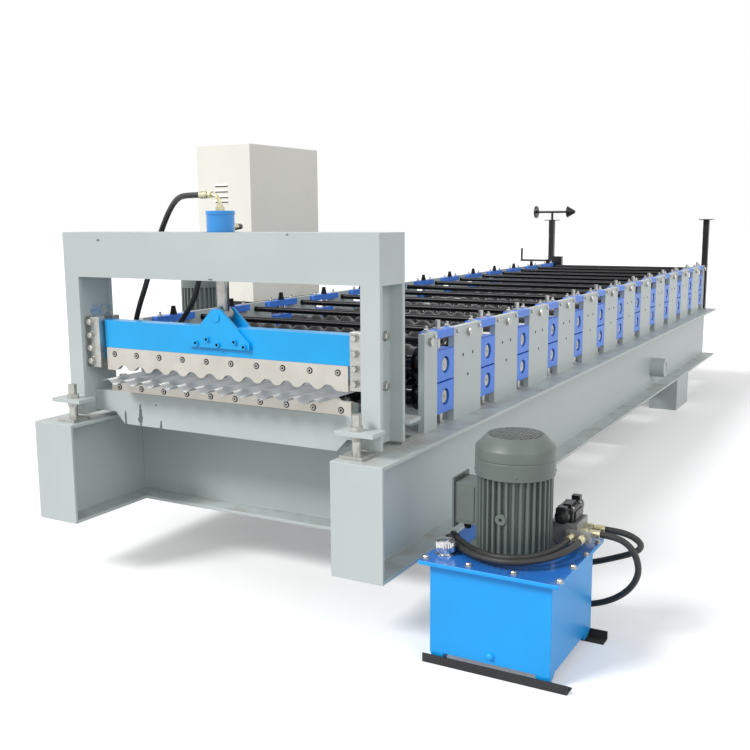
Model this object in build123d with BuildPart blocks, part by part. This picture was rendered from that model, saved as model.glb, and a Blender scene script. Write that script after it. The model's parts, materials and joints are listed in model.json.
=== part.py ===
"""Roll forming machine for corrugated sheet, with its hydraulic shear, power pack and cabinet.

X runs across the machine, Y along it with the exit end at -Y, Z up from the floor. Millimetres.
"""
from build123d import *
from math import atan2, cos, degrees, hypot, pi, radians, sin, tan
import os

os.makedirs("parts", exist_ok=True)

# Main frame: two H beams on four legs, tied by cross beams
machine_length = 5262
leg_height = 200
leg_length = 340
leg_wall = 10
leg_inset = 1120
beam_height = 350
beam_width = 175
beam_web = 8
beam_flange = 12
rail_centre = 606
end_plate = 10
cross_beam_count = 5
first_cross_beam = 327
last_cross_beam_inset = 150
stub_radius = 30
stub_cap_radius = 57
stub_cap_thickness = 10
stub_inset = 1650

# Corrugated profile that the machine makes
wave_pitch = 76
wave_depth = 18
wave_count = 12
sheet_thickness = 0.8
sheet_front = -36
sheet_back = 430

# Roll stations
station_count = 13
last_station_inset = 186
first_station = 499
block_width = 134
block_height = 105
block_gap = 5
block_depth = 45
block_lift = 42
slot_clearance = 0.4
plate_face = 605
plate_thickness = 22
plate_height = 324
front_plate_width = 97
rear_plate_width = 76
cap_height = 26
cap_lap = 45
cap_bar = 24
tie_radius = 12
tie_height = 297
tie_setback = 126
nut_width = 30
nut_height = 12

# Rollers
journal_radius = 28
journal_clearance = 0.3
journal_recess = 6
roller_face = 1000
roller_gap = 1.5
collar_radius = 36
collar_gap = 5
gear_radius = 53
gear_width = 24
gear_gap = 10
sprocket_radius = 66
sprocket_width = 12
sprocket_gap = 8
chain_thickness = 14
chain_width = 20
chain_clearance = 1

# Screws that set the bearing blocks
screw_radius = 9
screw_clearance = 0.3
spindle_radius = 15
spindle_tip_radius = 8
spindle_rise = 34
spindle_tip = 4
stud_rise = 30
washer_radius = 17
washer_thickness = 4
jack_radius = 10
jack_nut_width = 32
jack_nut_height = 14

# Shear gantry
gantry_setback = 113
gantry_width = 1252
gantry_depth = 158
gantry_top = 1002
gantry_lift = 14
header_height = 152
leg_plate_width = 65
portal_plate = 16
portal_web = 12
web_inset = 45
ear_width = 130
ear_depth = 76
ear_thickness = 13
ear_height = 68
ear_inset = 49
jack_stud_radius = 15
jack_stud_top = 130
jack_stud_back = 46
jack_stud_inset = 54
foot_size = 76
cone_height = 18
cone_radius = 22

# Blades and the beams that hold them
shear_y = 62
blade_thickness = 16
blade_width = 980
blade_rise = 34
blade_gap = 0.4
beam_face = 52
ram_width = 1002
ram_height = 94
ram_depth = 56
ram_backing = 44
tongue_length = 44
tongue_depth = 40
guide_clearance = 0.4
guide_mouth = 506
guide_drop = 23
guide_rise = 41
guide_wall = 30
guide_floor = 18
lower_beam_face = 60
lower_beam_depth = 70
lower_beam_plate = 14
lower_beam_top = 446
lower_beam_bottom = 331
lower_beam_end = 372
notch_start = 438
notch_end = 476
backing_height = 34
backing_depth = 30

# Cylinder, rod and the bracket that takes the rod
side_port_x = -22
side_port_y = 110
side_port_drop = 52
side_port_lap = 4
piston_headroom = 12
eye_clearance = 1
ram_y = 80
barrel_radius = 59.5
barrel_bore = 50
barrel_clearance = 1
barrel_top = 1070
gland_height = 40
rod_radius = 27
rod_clearance = 0.4
rod_hole_clearance = 4
piston_height = 36
bracket_top = 756
bracket_tip = 16
bracket_half = 118
bracket_knee = 652
bracket_bottom = 629
bracket_plate = 12
pin_radius = 15
pin_height = 730
pin_clearance = 0.4
pin_overhang = 4
eye_radius = 27
ram_floor = 603
port_radius = 13
port_rise = 20
port_bend = 31
port_tube_radius = 6

# Film stand at the entry end
post_size = 40
post_height = 660
post_plate = 95
post_plate_thickness = 6
post_inset = 22
post_x = 598
spool_length = 254
spool_height = 728
spool_radius = 9
spool_disc_radius = 48
spool_disc_thickness = 12
spool_cone_radius = 45
spool_cone_length = 62
spool_start = 726
guide_arm_height = 340
guide_arm_length = 240
guide_arm_tip = 90
guide_arm_radius = 8
guide_block = 70

# Drive beside the left rail
drive_station = 1
drive_gap = 8
reducer_width = 150
reducer_length = 190
reducer_height = 260
drive_motor_radius = 80
drive_motor_height = 206
drive_flange_height = 14
shelf_thickness = 16
coupling_radius = 34

# Hydraulic power pack, from its tank's centre
site_half_width = 1242
pack_x = 1015
pack_y = 82
tank_width = 355
tank_depth = 371
tank_floor = 34
tank_height = 247
tank_wall = 4
lid_overhang = 25
lid_thickness = 24
foot_top = 44
foot_bottom = 30
skid_leg = 26
skid_foot = 44
skid_thickness = 4
skid_length = 424
skid_overhang = 9
motor_radius = 108
cowl_radius = 118
cowl_start = 207
cowl_height = 98
cowl_taper = 34
cowl_top_radius = 76
motor_flange_radius = 124
motor_flange_height = 12
fin_count = 28
fin_height = 8
fin_width = 5
fin_root = 2
terminal_width = 90
terminal_depth = 96
terminal_height = 100
terminal_start = 62
filler_x = -156
filler_y = -128
filler_radius = 29
filler_height = 32
neck_radius = 22
neck_height = 11
manifold_x = 112
manifold_y = 157
manifold_width = 80
manifold_depth = 104
manifold_height = 66
valve_width = 60
valve_depth = 104
valve_height = 52
solenoid_radius = 21
solenoid_length = 38
port_nut_radius = 12
port_nut_length = 13
port_height = 37
pump_ports = [-7, 25]
port_bar_start = -27
port_bar_end = 45
port_bar_front = 7
port_bar_depth = 19
port_bar_height = 30
return_x = -187
return_y = [-38, -4]
return_height = 14
return_reach = 18

# Control cabinet on its stand
cabinet_width = 330
cabinet_length = 611
cabinet_height = 767
cabinet_floor = 835
cabinet_front = 1457
door_thickness = 18
door_reveal = 6
knob_reach = 25
knob_radius = 22
knob_inset = 62
knob_drop = 122
stand_inset = 12

# Hoses
hose_radius = 9.5
ferrule_radius = 12.5
ferrule_length = 48
fillet_share = 0.45

# Places worked out from the sizes above
front_end = -machine_length / 2
rear_end = machine_length / 2
rail_bottom = leg_height
rail_top = rail_bottom + beam_height
gantry_y = front_end + gantry_setback
first_axis = gantry_y + first_station
station_pitch = (rear_end - last_station_inset - first_axis) / (station_count - 1)
lower_axis = rail_top + block_lift + block_height / 2
upper_axis = lower_axis + block_height + block_gap
pass_line = (lower_axis + upper_axis) / 2
plate_top = rail_top + plate_height
plate_inner = plate_face - plate_thickness
block_inner = plate_face - block_depth
web_outer = gantry_width / 2 - web_inset
ear_centre = gantry_width / 2 - ear_inset
jack_stud_x = gantry_width / 2 - jack_stud_inset
web_inner = web_outer - portal_web
header_bottom = gantry_top - header_height
sides = (-1, 1)


def facing_exit(y):
    """Sketch plane across the machine at y: sketch x is +X and sketch y is +Z."""
    return Plane(origin=(0, y, 0), x_dir=(1, 0, 0), z_dir=(0, -1, 0))


def facing_side(x):
    """Sketch plane along the machine at x: sketch x is +Y and sketch y is +Z."""
    return Plane(origin=(x, 0, 0), x_dir=(0, 1, 0), z_dir=(1, 0, 0))


def axis_y(index):
    """Place of a roll station along the machine, counted from the exit end."""
    return first_axis + index * station_pitch


def above_rail_bottom(height):
    """Height over the floor of something measured from the rails' underside."""
    return rail_bottom + height


def beam_section():
    """H section with the flanges level, centred on the sketch place."""
    Rectangle(beam_width, beam_height)
    gap = (beam_width - beam_web) / 2
    with GridLocations(beam_web + gap, 0, 2, 1):
        Rectangle(gap, beam_height - 2 * beam_flange, mode=Mode.SUBTRACT)


def save(name, part):
    """Label a finished piece and write it."""
    part.label = name
    export_step(part, f"parts/{name}.step")


# Main rails with their end plates and lifting stubs
rail_mid = rail_bottom + beam_height / 2
stub_reach = beam_width / 2 - stub_cap_thickness
with BuildPart() as rails:
    for side in sides:
        with BuildSketch(facing_exit(front_end)):
            with Locations((side * rail_centre, rail_mid)):
                beam_section()
        extrude(amount=-machine_length)
        for start in (front_end, rear_end - end_plate):
            with BuildSketch(facing_exit(start)):
                with Locations((side * rail_centre, rail_mid)):
                    Rectangle(beam_width, beam_height)
            extrude(amount=-end_plate)
        stub_places = [(front_end + stub_inset, rail_mid), (rear_end - stub_inset, rail_mid)]
        with BuildSketch(facing_side(side * rail_centre)):
            with Locations(*stub_places):
                Circle(stub_radius)
        extrude(amount=side * stub_reach)
        with BuildSketch(facing_side(side * (rail_centre + stub_reach))):
            with Locations(*stub_places):
                Circle(stub_cap_radius)
        extrude(amount=side * stub_cap_thickness)
save("rails", rails.part)

# Cross beams, coped so that the web reaches the rails' webs
cope_half = rail_centre - beam_width / 2
web_half = rail_centre - beam_web / 2
last_cross_beam = rear_end - last_cross_beam_inset
cross_beam_step = (last_cross_beam - gantry_y - first_cross_beam) / (cross_beam_count - 1)
cross_beam_places = [gantry_y + first_cross_beam + i * cross_beam_step for i in range(cross_beam_count)]
with BuildPart() as cross_beams:
    with BuildSketch(facing_side(-cope_half)):
        with Locations(*[(y, rail_bottom + beam_height / 2) for y in cross_beam_places]):
            beam_section()
    extrude(amount=2 * cope_half)
    with BuildSketch(facing_side(-web_half)):
        with Locations(*[(y, rail_bottom + beam_height / 2) for y in cross_beam_places]):
            Rectangle(beam_web, beam_height - 2 * beam_flange)
    extrude(amount=2 * web_half)
save("cross_beams", cross_beams.part)

# Box legs under the rails
leg_places = [(side * rail_centre, end * (machine_length / 2 - leg_inset)) for side in sides for end in sides]
with BuildPart() as support_legs:
    with BuildSketch(Plane.XY):
        with Locations(*leg_places):
            Rectangle(beam_width, leg_length)
            Rectangle(beam_width - 2 * leg_wall, leg_length - 2 * leg_wall, mode=Mode.SUBTRACT)
    extrude(amount=leg_height)
save("support_legs", support_legs.part)

# Side plates that stand on the rails and leave a slot at each station
slot_width = block_width + 2 * slot_clearance
plate_spans = [(axis_y(0) - slot_width / 2 - front_plate_width, axis_y(0) - slot_width / 2)]
for index in range(station_count - 1):
    plate_spans.append((axis_y(index) + slot_width / 2, axis_y(index + 1) - slot_width / 2))
last_slot = axis_y(station_count - 1) + slot_width / 2
plate_spans.append((last_slot, last_slot + rear_plate_width))
tie_z = rail_top + tie_height
tie_places = [(axis_y(0) - tie_setback, tie_z)]
tie_places += [(axis_y(i) + station_pitch / 2, tie_z) for i in range(station_count - 1)]
tie_places.append((axis_y(station_count - 1) + tie_setback, tie_z))
with BuildPart() as side_plates:
    for side in sides:
        with BuildSketch(facing_side(side * plate_face)):
            for start, end in plate_spans:
                with Locations(((start + end) / 2, rail_top + plate_height / 2)):
                    Rectangle(end - start, plate_height)
            with Locations(*tie_places):
                Circle(tie_radius + screw_clearance, mode=Mode.SUBTRACT)
        extrude(amount=-side * plate_thickness)
save("side_plates", side_plates.part)

# Bearing blocks that slide in the slots
bore_radius = journal_radius + journal_clearance


def make_blocks(axis_z):
    with BuildPart() as blocks:
        for side in sides:
            with BuildSketch(facing_side(side * plate_face)):
                with Locations(*[(axis_y(i), axis_z) for i in range(station_count)]):
                    Rectangle(block_width, block_height)
                    Circle(bore_radius, mode=Mode.SUBTRACT)
            extrude(amount=-side * block_depth)
    return blocks.part


save("lower_bearing_blocks", make_blocks(lower_axis))
save("upper_bearing_blocks", make_blocks(upper_axis))

# Caps that close the slots, bolted behind the side plates
cap_bottom = plate_top - cap_height
with BuildPart() as station_caps:
    for side in sides:
        with BuildSketch(Plane.XY.offset(cap_bottom)):
            for index in range(station_count):
                with Locations((side * (plate_face - plate_thickness / 2), axis_y(index))):
                    Rectangle(plate_thickness, block_width)
                with Locations((side * (plate_inner - cap_bar / 2), axis_y(index))):
                    Rectangle(cap_bar, block_width + 2 * cap_lap)
                with Locations((side * (plate_inner - screw_radius), axis_y(index))):
                    Circle(screw_radius + screw_clearance, mode=Mode.SUBTRACT)
        extrude(amount=cap_height)
save("station_caps", station_caps.part)

# Setting screws over the upper blocks and jack screws under the lower ones
screw_x = plate_inner - screw_radius
block_top = upper_axis + block_height / 2
jack_x = plate_face - plate_thickness
lower_block_bottom = lower_axis - block_height / 2
with BuildPart() as bearing_screws:
    for index in range(station_count):
        for side in sides:
            rise = spindle_rise if side < 0 else stud_rise
            with BuildSketch(Plane.XY.offset(block_top)):
                with Locations((side * screw_x, axis_y(index))):
                    Circle(screw_radius)
            extrude(amount=plate_top + rise - block_top)
            with BuildSketch(Plane.XY.offset(rail_top)):
                with Locations((side * jack_x, axis_y(index))):
                    Circle(jack_radius)
            extrude(amount=block_lift)
            with BuildSketch(Plane.XY.offset(rail_top)):
                with Locations((side * jack_x, axis_y(index))):
                    RegularPolygon(jack_nut_width / 2, 6)
            extrude(amount=jack_nut_height)
        with BuildSketch(Plane.XY.offset(plate_top)):
            with Locations((-screw_x, axis_y(index))):
                Circle(spindle_radius)
        extrude(amount=spindle_rise - spindle_tip,
                taper=degrees(atan2(spindle_radius - spindle_tip_radius, spindle_rise)))
        with BuildSketch(Plane.XY.offset(plate_top)):
            with Locations((screw_x, axis_y(index))):
                Circle(washer_radius)
        extrude(amount=washer_thickness)
save("bearing_screws", bearing_screws.part)

# Tie rods between the side plates, nutted outside
with BuildPart() as tie_rods:
    with BuildSketch(facing_side(-plate_face - nut_height)):
        with Locations(*tie_places):
            Circle(tie_radius)
    extrude(amount=2 * (plate_face + nut_height))
    for side in sides:
        with BuildSketch(facing_side(side * plate_face)):
            with Locations(*tie_places):
                RegularPolygon(nut_width / 2, 6)
        extrude(amount=side * nut_height)
save("tie_rods", tie_rods.part)


# Rollers: the wave grows from the centre, one wave a station, until the full profile
def waves_at(index):
    """Waves on the rollers of a station, full at the exit end."""
    return max(1, min(wave_count, wave_count + 1 - index))


def roller_outline(index, phase):
    """Half outline of the roller face as (x, radius); phase +1 puts a crest at x = 0."""
    mean = (upper_axis - lower_axis) / 2 - roller_gap
    half = wave_pitch / 2
    waves = waves_at(index)
    points = [(i * half, mean + phase * wave_depth / 2 * (-1) ** i) for i in range(-waves, waves + 1)]
    edge = waves * half + half / 2
    return [(-roller_face / 2, mean), (-edge, mean), *points, (edge, mean), (roller_face / 2, mean)]


def make_roller(index, phase, axis_z, driven_end):
    """One roller with its journals; driven_end lists (outer x, radius) steps on the drive side."""
    outline = roller_outline(index, phase)
    collar_end = block_inner - collar_gap
    journal_end = plate_face - journal_recess
    with BuildPart() as roller:
        with BuildSketch(Plane(origin=(0, axis_y(index), axis_z), x_dir=(1, 0, 0), z_dir=(0, -1, 0))):
            with BuildLine():
                points = [(-roller_face / 2, 0), *outline, (roller_face / 2, 0)]
                Polyline(*points, close=True)
            make_face()
        revolve(axis=Axis((0, axis_y(index), axis_z), (1, 0, 0)))
        with BuildSketch(facing_side(-collar_end)):
            with Locations((axis_y(index), axis_z)):
                Circle(collar_radius)
        extrude(amount=2 * collar_end)
        reach = driven_end[-1][1] if driven_end else -journal_end
        with BuildSketch(facing_side(reach)):
            with Locations((axis_y(index), axis_z)):
                Circle(journal_radius)
        extrude(amount=journal_end - reach)
        for start, end, radius in driven_end:
            with BuildSketch(facing_side(start)):
                with Locations((axis_y(index), axis_z)):
                    Circle(radius)
            extrude(amount=end - start)
    return roller.part


gear_start = -(plate_face + gear_gap)
gear_end = gear_start - gear_width
sprocket_start = gear_end - sprocket_gap
sprocket_end = sprocket_start - sprocket_width
for index in range(station_count):
    upper_end = [(gear_start, gear_end, gear_radius)]
    lower_end = [(gear_start, gear_end, gear_radius), (sprocket_start, sprocket_end, sprocket_radius)]
    if index == drive_station:
        lower_end.append((sprocket_end, sprocket_end - drive_gap + journal_clearance, coupling_radius))
    save(f"upper_roller_{index + 1:02d}", make_roller(index, 1, upper_axis, upper_end))
    save(f"lower_roller_{index + 1:02d}", make_roller(index, -1, lower_axis, lower_end))

# One chain loop round all the lower sprockets
chain_inner = sprocket_radius + chain_clearance
chain_mid = (sprocket_start + sprocket_end) / 2
chain_centre = (axis_y(0) + axis_y(station_count - 1)) / 2
chain_span = axis_y(station_count - 1) - axis_y(0)
with BuildPart() as drive_chain:
    with BuildSketch(facing_side(chain_mid - chain_width / 2)):
        with Locations((chain_centre, lower_axis)):
            SlotCenterToCenter(chain_span, 2 * (chain_inner + chain_thickness))
            SlotCenterToCenter(chain_span, 2 * chain_inner, mode=Mode.SUBTRACT)
    extrude(amount=chain_width)
save("drive_chain", drive_chain.part)

# Gantry: two portal plates, channel legs and a closed header
header_z = above_rail_bottom(header_bottom)
gantry_foot_z = rail_top + gantry_lift
gantry_top_z = above_rail_bottom(gantry_top)
with BuildPart() as gantry_frame:
    for start in (gantry_y, gantry_y + gantry_depth - portal_plate):
        with BuildSketch(facing_exit(start)):
            with Locations((0, (header_z + gantry_top_z) / 2)):
                Rectangle(gantry_width, header_height)
            for side in sides:
                with Locations((side * (gantry_width - leg_plate_width) / 2, (gantry_foot_z + header_z) / 2)):
                    Rectangle(leg_plate_width, header_z - gantry_foot_z)
        extrude(amount=-portal_plate)
    with BuildSketch(Plane.XY.offset(gantry_foot_z)):
        for side in sides:
            with Locations((side * (web_inner + portal_web / 2), gantry_y + gantry_depth / 2)):
                Rectangle(portal_web, gantry_depth - 2 * portal_plate)
    extrude(amount=header_z - gantry_foot_z)
    for level, hole in ((header_z, rod_radius + rod_hole_clearance),
                        (gantry_top_z - portal_web, barrel_radius + barrel_clearance)):
        with BuildSketch(Plane.XY.offset(level)):
            with Locations((0, gantry_y + gantry_depth / 2)):
                Rectangle(gantry_width, gantry_depth - 2 * portal_plate)
            with Locations((0, gantry_y + ram_y)):
                Circle(hole, mode=Mode.SUBTRACT)
        extrude(amount=portal_web)
    with BuildSketch(Plane.XY.offset(header_z + portal_web)):
        for side in sides:
            with Locations((side * (gantry_width - portal_web) / 2, gantry_y + gantry_depth / 2)):
                Rectangle(portal_web, gantry_depth - 2 * portal_plate)
    extrude(amount=header_height - 2 * portal_web)
    for side in sides:
        for start, sign in ((gantry_y, -1), (gantry_y + gantry_depth, 1)):
            with BuildSketch(Plane.XY.offset(rail_top + ear_height)):
                with Locations((side * ear_centre, start + sign * ear_depth / 2)):
                    Rectangle(ear_width, ear_depth)
                with Locations((side * jack_stud_x, start + sign * jack_stud_back)):
                    Circle(jack_stud_radius + screw_clearance, mode=Mode.SUBTRACT)
            extrude(amount=ear_thickness)
save("gantry_frame", gantry_frame.part)

# Jacks that carry the gantry on the rails
ear_top = rail_top + ear_height + ear_thickness
jack_places = [(side * jack_stud_x, y) for side in sides
               for y in (gantry_y - jack_stud_back, gantry_y + gantry_depth + jack_stud_back)]
with BuildPart() as gantry_jacks:
    with BuildSketch(Plane.XY.offset(rail_top)):
        with Locations(*jack_places):
            Rectangle(foot_size, foot_size)
    extrude(amount=nut_height)
    with BuildSketch(Plane.XY.offset(rail_top + nut_height)):
        with Locations(*jack_places):
            Circle(jack_stud_radius)
    extrude(amount=jack_stud_top - nut_height)
    with Locations(*[(x, y, ear_top - ear_thickness - cone_height / 2) for x, y in jack_places]):
        Cone(jack_stud_radius, cone_radius, cone_height)
    with BuildSketch(Plane.XY.offset(ear_top)):
        with Locations(*jack_places):
            RegularPolygon(cone_radius, 6)
    extrude(amount=jack_nut_height)
save("gantry_jacks", gantry_jacks.part)

# Channel guides in the gantry legs, open towards the middle
ram_bottom = above_rail_bottom(ram_floor)
ram_top = ram_bottom + ram_height
tongue_centre = gantry_y + ram_y
guide_gap = tongue_depth + 2 * guide_clearance
guide_bottom = ram_bottom - guide_drop
guide_top = ram_top + guide_rise
with BuildPart() as guide_channels:
    with BuildSketch(Plane.XY.offset(guide_bottom)):
        for side in sides:
            with Locations((side * (guide_mouth + web_inner) / 2, tongue_centre)):
                Rectangle(web_inner - guide_mouth, guide_gap + 2 * guide_wall)
            with Locations((side * (guide_mouth + web_inner - guide_floor) / 2, tongue_centre)):
                Rectangle(web_inner - guide_floor - guide_mouth, guide_gap, mode=Mode.SUBTRACT)
    extrude(amount=guide_top - guide_bottom)
save("guide_channels", guide_channels.part)

# Cylinder standing on the header's floor, with its two ports
cylinder_y = gantry_y + ram_y
cylinder_bottom = header_z + portal_web
cylinder_top = above_rail_bottom(barrel_top)
with BuildPart() as shear_cylinder:
    with BuildSketch(Plane.XY.offset(cylinder_bottom)):
        with Locations((0, cylinder_y)):
            Circle(barrel_radius)
    extrude(amount=cylinder_top - cylinder_bottom)
    with BuildSketch(Plane.XY.offset(cylinder_bottom + gland_height)):
        with Locations((0, cylinder_y)):
            Circle(barrel_bore)
    extrude(amount=cylinder_top - cylinder_bottom - 2 * gland_height, mode=Mode.SUBTRACT)
    with BuildSketch(Plane.XY.offset(cylinder_bottom)):
        with Locations((0, cylinder_y)):
            Circle(rod_radius + rod_clearance)
    extrude(amount=gland_height, mode=Mode.SUBTRACT)
    with BuildSketch(Plane.XY.offset(cylinder_top)):
        with Locations((0, cylinder_y)):
            Circle(port_radius)
    extrude(amount=port_rise)
    with BuildSketch(Plane.XY.offset(cylinder_top + port_rise)):
        with Locations((0, cylinder_y)):
            Circle(port_tube_radius)
    revolve(axis=Axis((-port_bend, cylinder_y, cylinder_top + port_rise), (0, -1, 0)), revolution_arc=90)
    with BuildSketch(facing_side(-port_bend)):
        with Locations((cylinder_y, cylinder_top + port_rise + port_bend)):
            Circle(ferrule_radius)
    extrude(amount=-ferrule_length)
    side_port_way = Vector(side_port_x, side_port_y, 0)
    side_port_root = barrel_radius - side_port_lap
    side_port_start = Vector(0, cylinder_y, cylinder_top - side_port_drop) + side_port_way.normalized() * side_port_root
    with BuildSketch(Plane(origin=side_port_start, z_dir=side_port_way)):
        Circle(ferrule_radius)
    extrude(amount=side_port_way.length - side_port_root)
save("shear_cylinder", shear_cylinder.part)

# Rod with its piston above and its eye below
pin_z = above_rail_bottom(pin_height)
piston_top = cylinder_top - gland_height - piston_headroom
eye_depth = ram_depth - 2 * eye_clearance
with BuildPart() as cylinder_rod:
    with BuildSketch(Plane.XY.offset(pin_z)):
        with Locations((0, cylinder_y)):
            Circle(rod_radius)
    extrude(amount=piston_top - pin_z)
    with BuildSketch(Plane.XY.offset(piston_top - piston_height)):
        with Locations((0, cylinder_y)):
            Circle(barrel_bore - rod_clearance)
    extrude(amount=piston_height)
    with BuildSketch(facing_exit(cylinder_y - eye_depth / 2)):
        with Locations((0, pin_z)):
            Circle(eye_radius)
    extrude(amount=-eye_depth)
    with BuildSketch(facing_exit(cylinder_y - eye_depth / 2)):
        with Locations((0, pin_z)):
            Circle(pin_radius + pin_clearance)
    extrude(amount=-eye_depth, mode=Mode.SUBTRACT)
save("cylinder_rod", cylinder_rod.part)

# Bracket plates on both faces of the ram, with the pin through them
bracket_faces = (gantry_y + beam_face - bracket_plate, gantry_y + beam_face + ram_depth)
bracket_outline = [(-bracket_tip, bracket_top), (bracket_tip, bracket_top), (bracket_half, bracket_knee),
                   (bracket_half, bracket_bottom), (-bracket_half, bracket_bottom), (-bracket_half, bracket_knee)]
with BuildPart() as rod_bracket:
    for start in bracket_faces:
        with BuildSketch(facing_exit(start)):
            with BuildLine():
                Polyline(*[(x, above_rail_bottom(z)) for x, z in bracket_outline], close=True)
            make_face()
        extrude(amount=-bracket_plate)
    pin_start = bracket_faces[0] - pin_overhang
    with BuildSketch(facing_exit(pin_start)):
        with Locations((0, pin_z)):
            Circle(pin_radius)
    extrude(amount=-(ram_depth + 2 * bracket_plate + 2 * pin_overhang))
save("rod_bracket", rod_bracket.part)

# Ram that carries the upper blade and runs in the guides
ram_front = gantry_y + beam_face
shear_plane = gantry_y + shear_y
ram_back = ram_front + ram_depth
with BuildPart() as blade_ram:
    with BuildSketch(facing_side(-ram_width / 2)):
        with BuildLine():
            Polyline((ram_front, ram_top), (ram_back, ram_top), (ram_back, ram_bottom - ram_backing),
                     (shear_plane, ram_bottom - ram_backing), (shear_plane, ram_bottom), (ram_front, ram_bottom),
                     close=True)
        make_face()
    extrude(amount=ram_width)
    with BuildSketch(Plane.XY.offset(ram_bottom - ram_backing)):
        for side in sides:
            with Locations((side * (ram_width + tongue_length) / 2, tongue_centre)):
                Rectangle(tongue_length, tongue_depth)
    extrude(amount=ram_height + ram_backing)
    eye_slot = 2 * (eye_radius + eye_clearance)
    with BuildSketch(Plane.XY.offset(pin_z - eye_radius - eye_clearance)):
        with Locations((0, tongue_centre)):
            Rectangle(eye_slot, ram_depth)
    extrude(amount=ram_height, mode=Mode.SUBTRACT)
save("blade_ram", blade_ram.part)


# Wave of circular arcs, crests up at odd half pitches
def wave_curve(level):
    """Arcs of the corrugation about a level, from one edge of the sheet to the other."""
    half = wave_pitch / 2
    start = -(wave_count - 0.5) * half
    for i in range(2 * wave_count - 1):
        rise = wave_depth / 2 if i % 2 == 0 else -wave_depth / 2
        ends = (start + i * half, start + (i + 1) * half)
        middle = (start + (i + 0.5) * half, level + rise)
        ThreePointArc((ends[0], level), middle, (ends[1], level))


def wave_shoulder(level, side):
    """Half arc that runs from the last wave down to the trough level at a blade's end."""
    quarter = wave_pitch / 4
    sag = wave_depth / 2
    radius = (quarter ** 2 + sag ** 2) / (2 * sag)
    half_turn = atan2(quarter, radius - sag) / 2
    trough = side * wave_count * wave_pitch / 2
    middle = (trough - side * radius * sin(half_turn), level - sag + radius * (1 - cos(half_turn)))
    ThreePointArc((trough - side * quarter, level), middle, (trough, level - sag))


def blade_line(level, far_edge):
    """Blade outline between the wave about level and a straight far edge."""
    trough = wave_count * wave_pitch / 2
    foot = level - wave_depth / 2
    wave_curve(level)
    for side in sides:
        wave_shoulder(level, side)
    Polyline((trough, foot), (blade_width / 2, foot), (blade_width / 2, far_edge),
             (-blade_width / 2, far_edge), (-blade_width / 2, foot), (-trough, foot))


upper_level = pass_line + blade_rise
with BuildPart() as upper_blade:
    with BuildSketch(facing_exit(shear_plane - blade_thickness)):
        with BuildLine():
            blade_line(upper_level, ram_bottom)
        make_face()
    extrude(amount=-blade_thickness)
save("upper_blade", upper_blade.part)

lower_level = pass_line - sheet_thickness / 2 - blade_gap
lower_beam_top_z = above_rail_bottom(lower_beam_top)
with BuildPart() as lower_blade:
    with BuildSketch(facing_exit(shear_plane + blade_gap)):
        with BuildLine():
            blade_line(lower_level, lower_beam_top_z)
        make_face()
    extrude(amount=-blade_thickness)
save("lower_blade", lower_blade.part)

# Lower beam: front web with notched ends, top plate, back web and the rib behind the blade
beam_front = gantry_y + lower_beam_face
beam_outline = [(-web_inner, lower_beam_top), (web_inner, lower_beam_top), (web_inner, lower_beam_end),
                (notch_end, lower_beam_end), (notch_start, lower_beam_bottom), (-notch_start, lower_beam_bottom),
                (-notch_end, lower_beam_end), (-web_inner, lower_beam_end)]
with BuildPart() as lower_beam:
    for start in (beam_front, beam_front + lower_beam_depth - lower_beam_plate):
        with BuildSketch(facing_exit(start)):
            with BuildLine():
                Polyline(*[(x, above_rail_bottom(z)) for x, z in beam_outline], close=True)
            make_face()
        extrude(amount=-lower_beam_plate)
    with BuildSketch(Plane.XY.offset(lower_beam_top_z - nut_height)):
        with Locations((0, beam_front + lower_beam_depth / 2)):
            Rectangle(2 * web_inner, lower_beam_depth)
    extrude(amount=nut_height)
    rib_front = shear_plane + blade_gap + blade_thickness
    with BuildSketch(Plane.XY.offset(lower_beam_top_z)):
        with Locations((0, rib_front + backing_depth / 2)):
            Rectangle(blade_width, backing_depth)
    extrude(amount=backing_height)
save("lower_beam", lower_beam.part)

# Sheet that lies over the lower blade with its end run out past the shear
with BuildPart() as formed_sheet:
    with BuildSketch(facing_exit(gantry_y + sheet_front)):
        with BuildLine():
            wave_curve(pass_line + sheet_thickness / 2)
            wave_curve(pass_line - sheet_thickness / 2)
            edge = (wave_count - 0.5) * wave_pitch / 2
            for side in sides:
                Line((side * edge, pass_line - sheet_thickness / 2), (side * edge, pass_line + sheet_thickness / 2))
        make_face()
    extrude(amount=-(sheet_back - sheet_front))
save("formed_sheet", formed_sheet.part)

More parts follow.
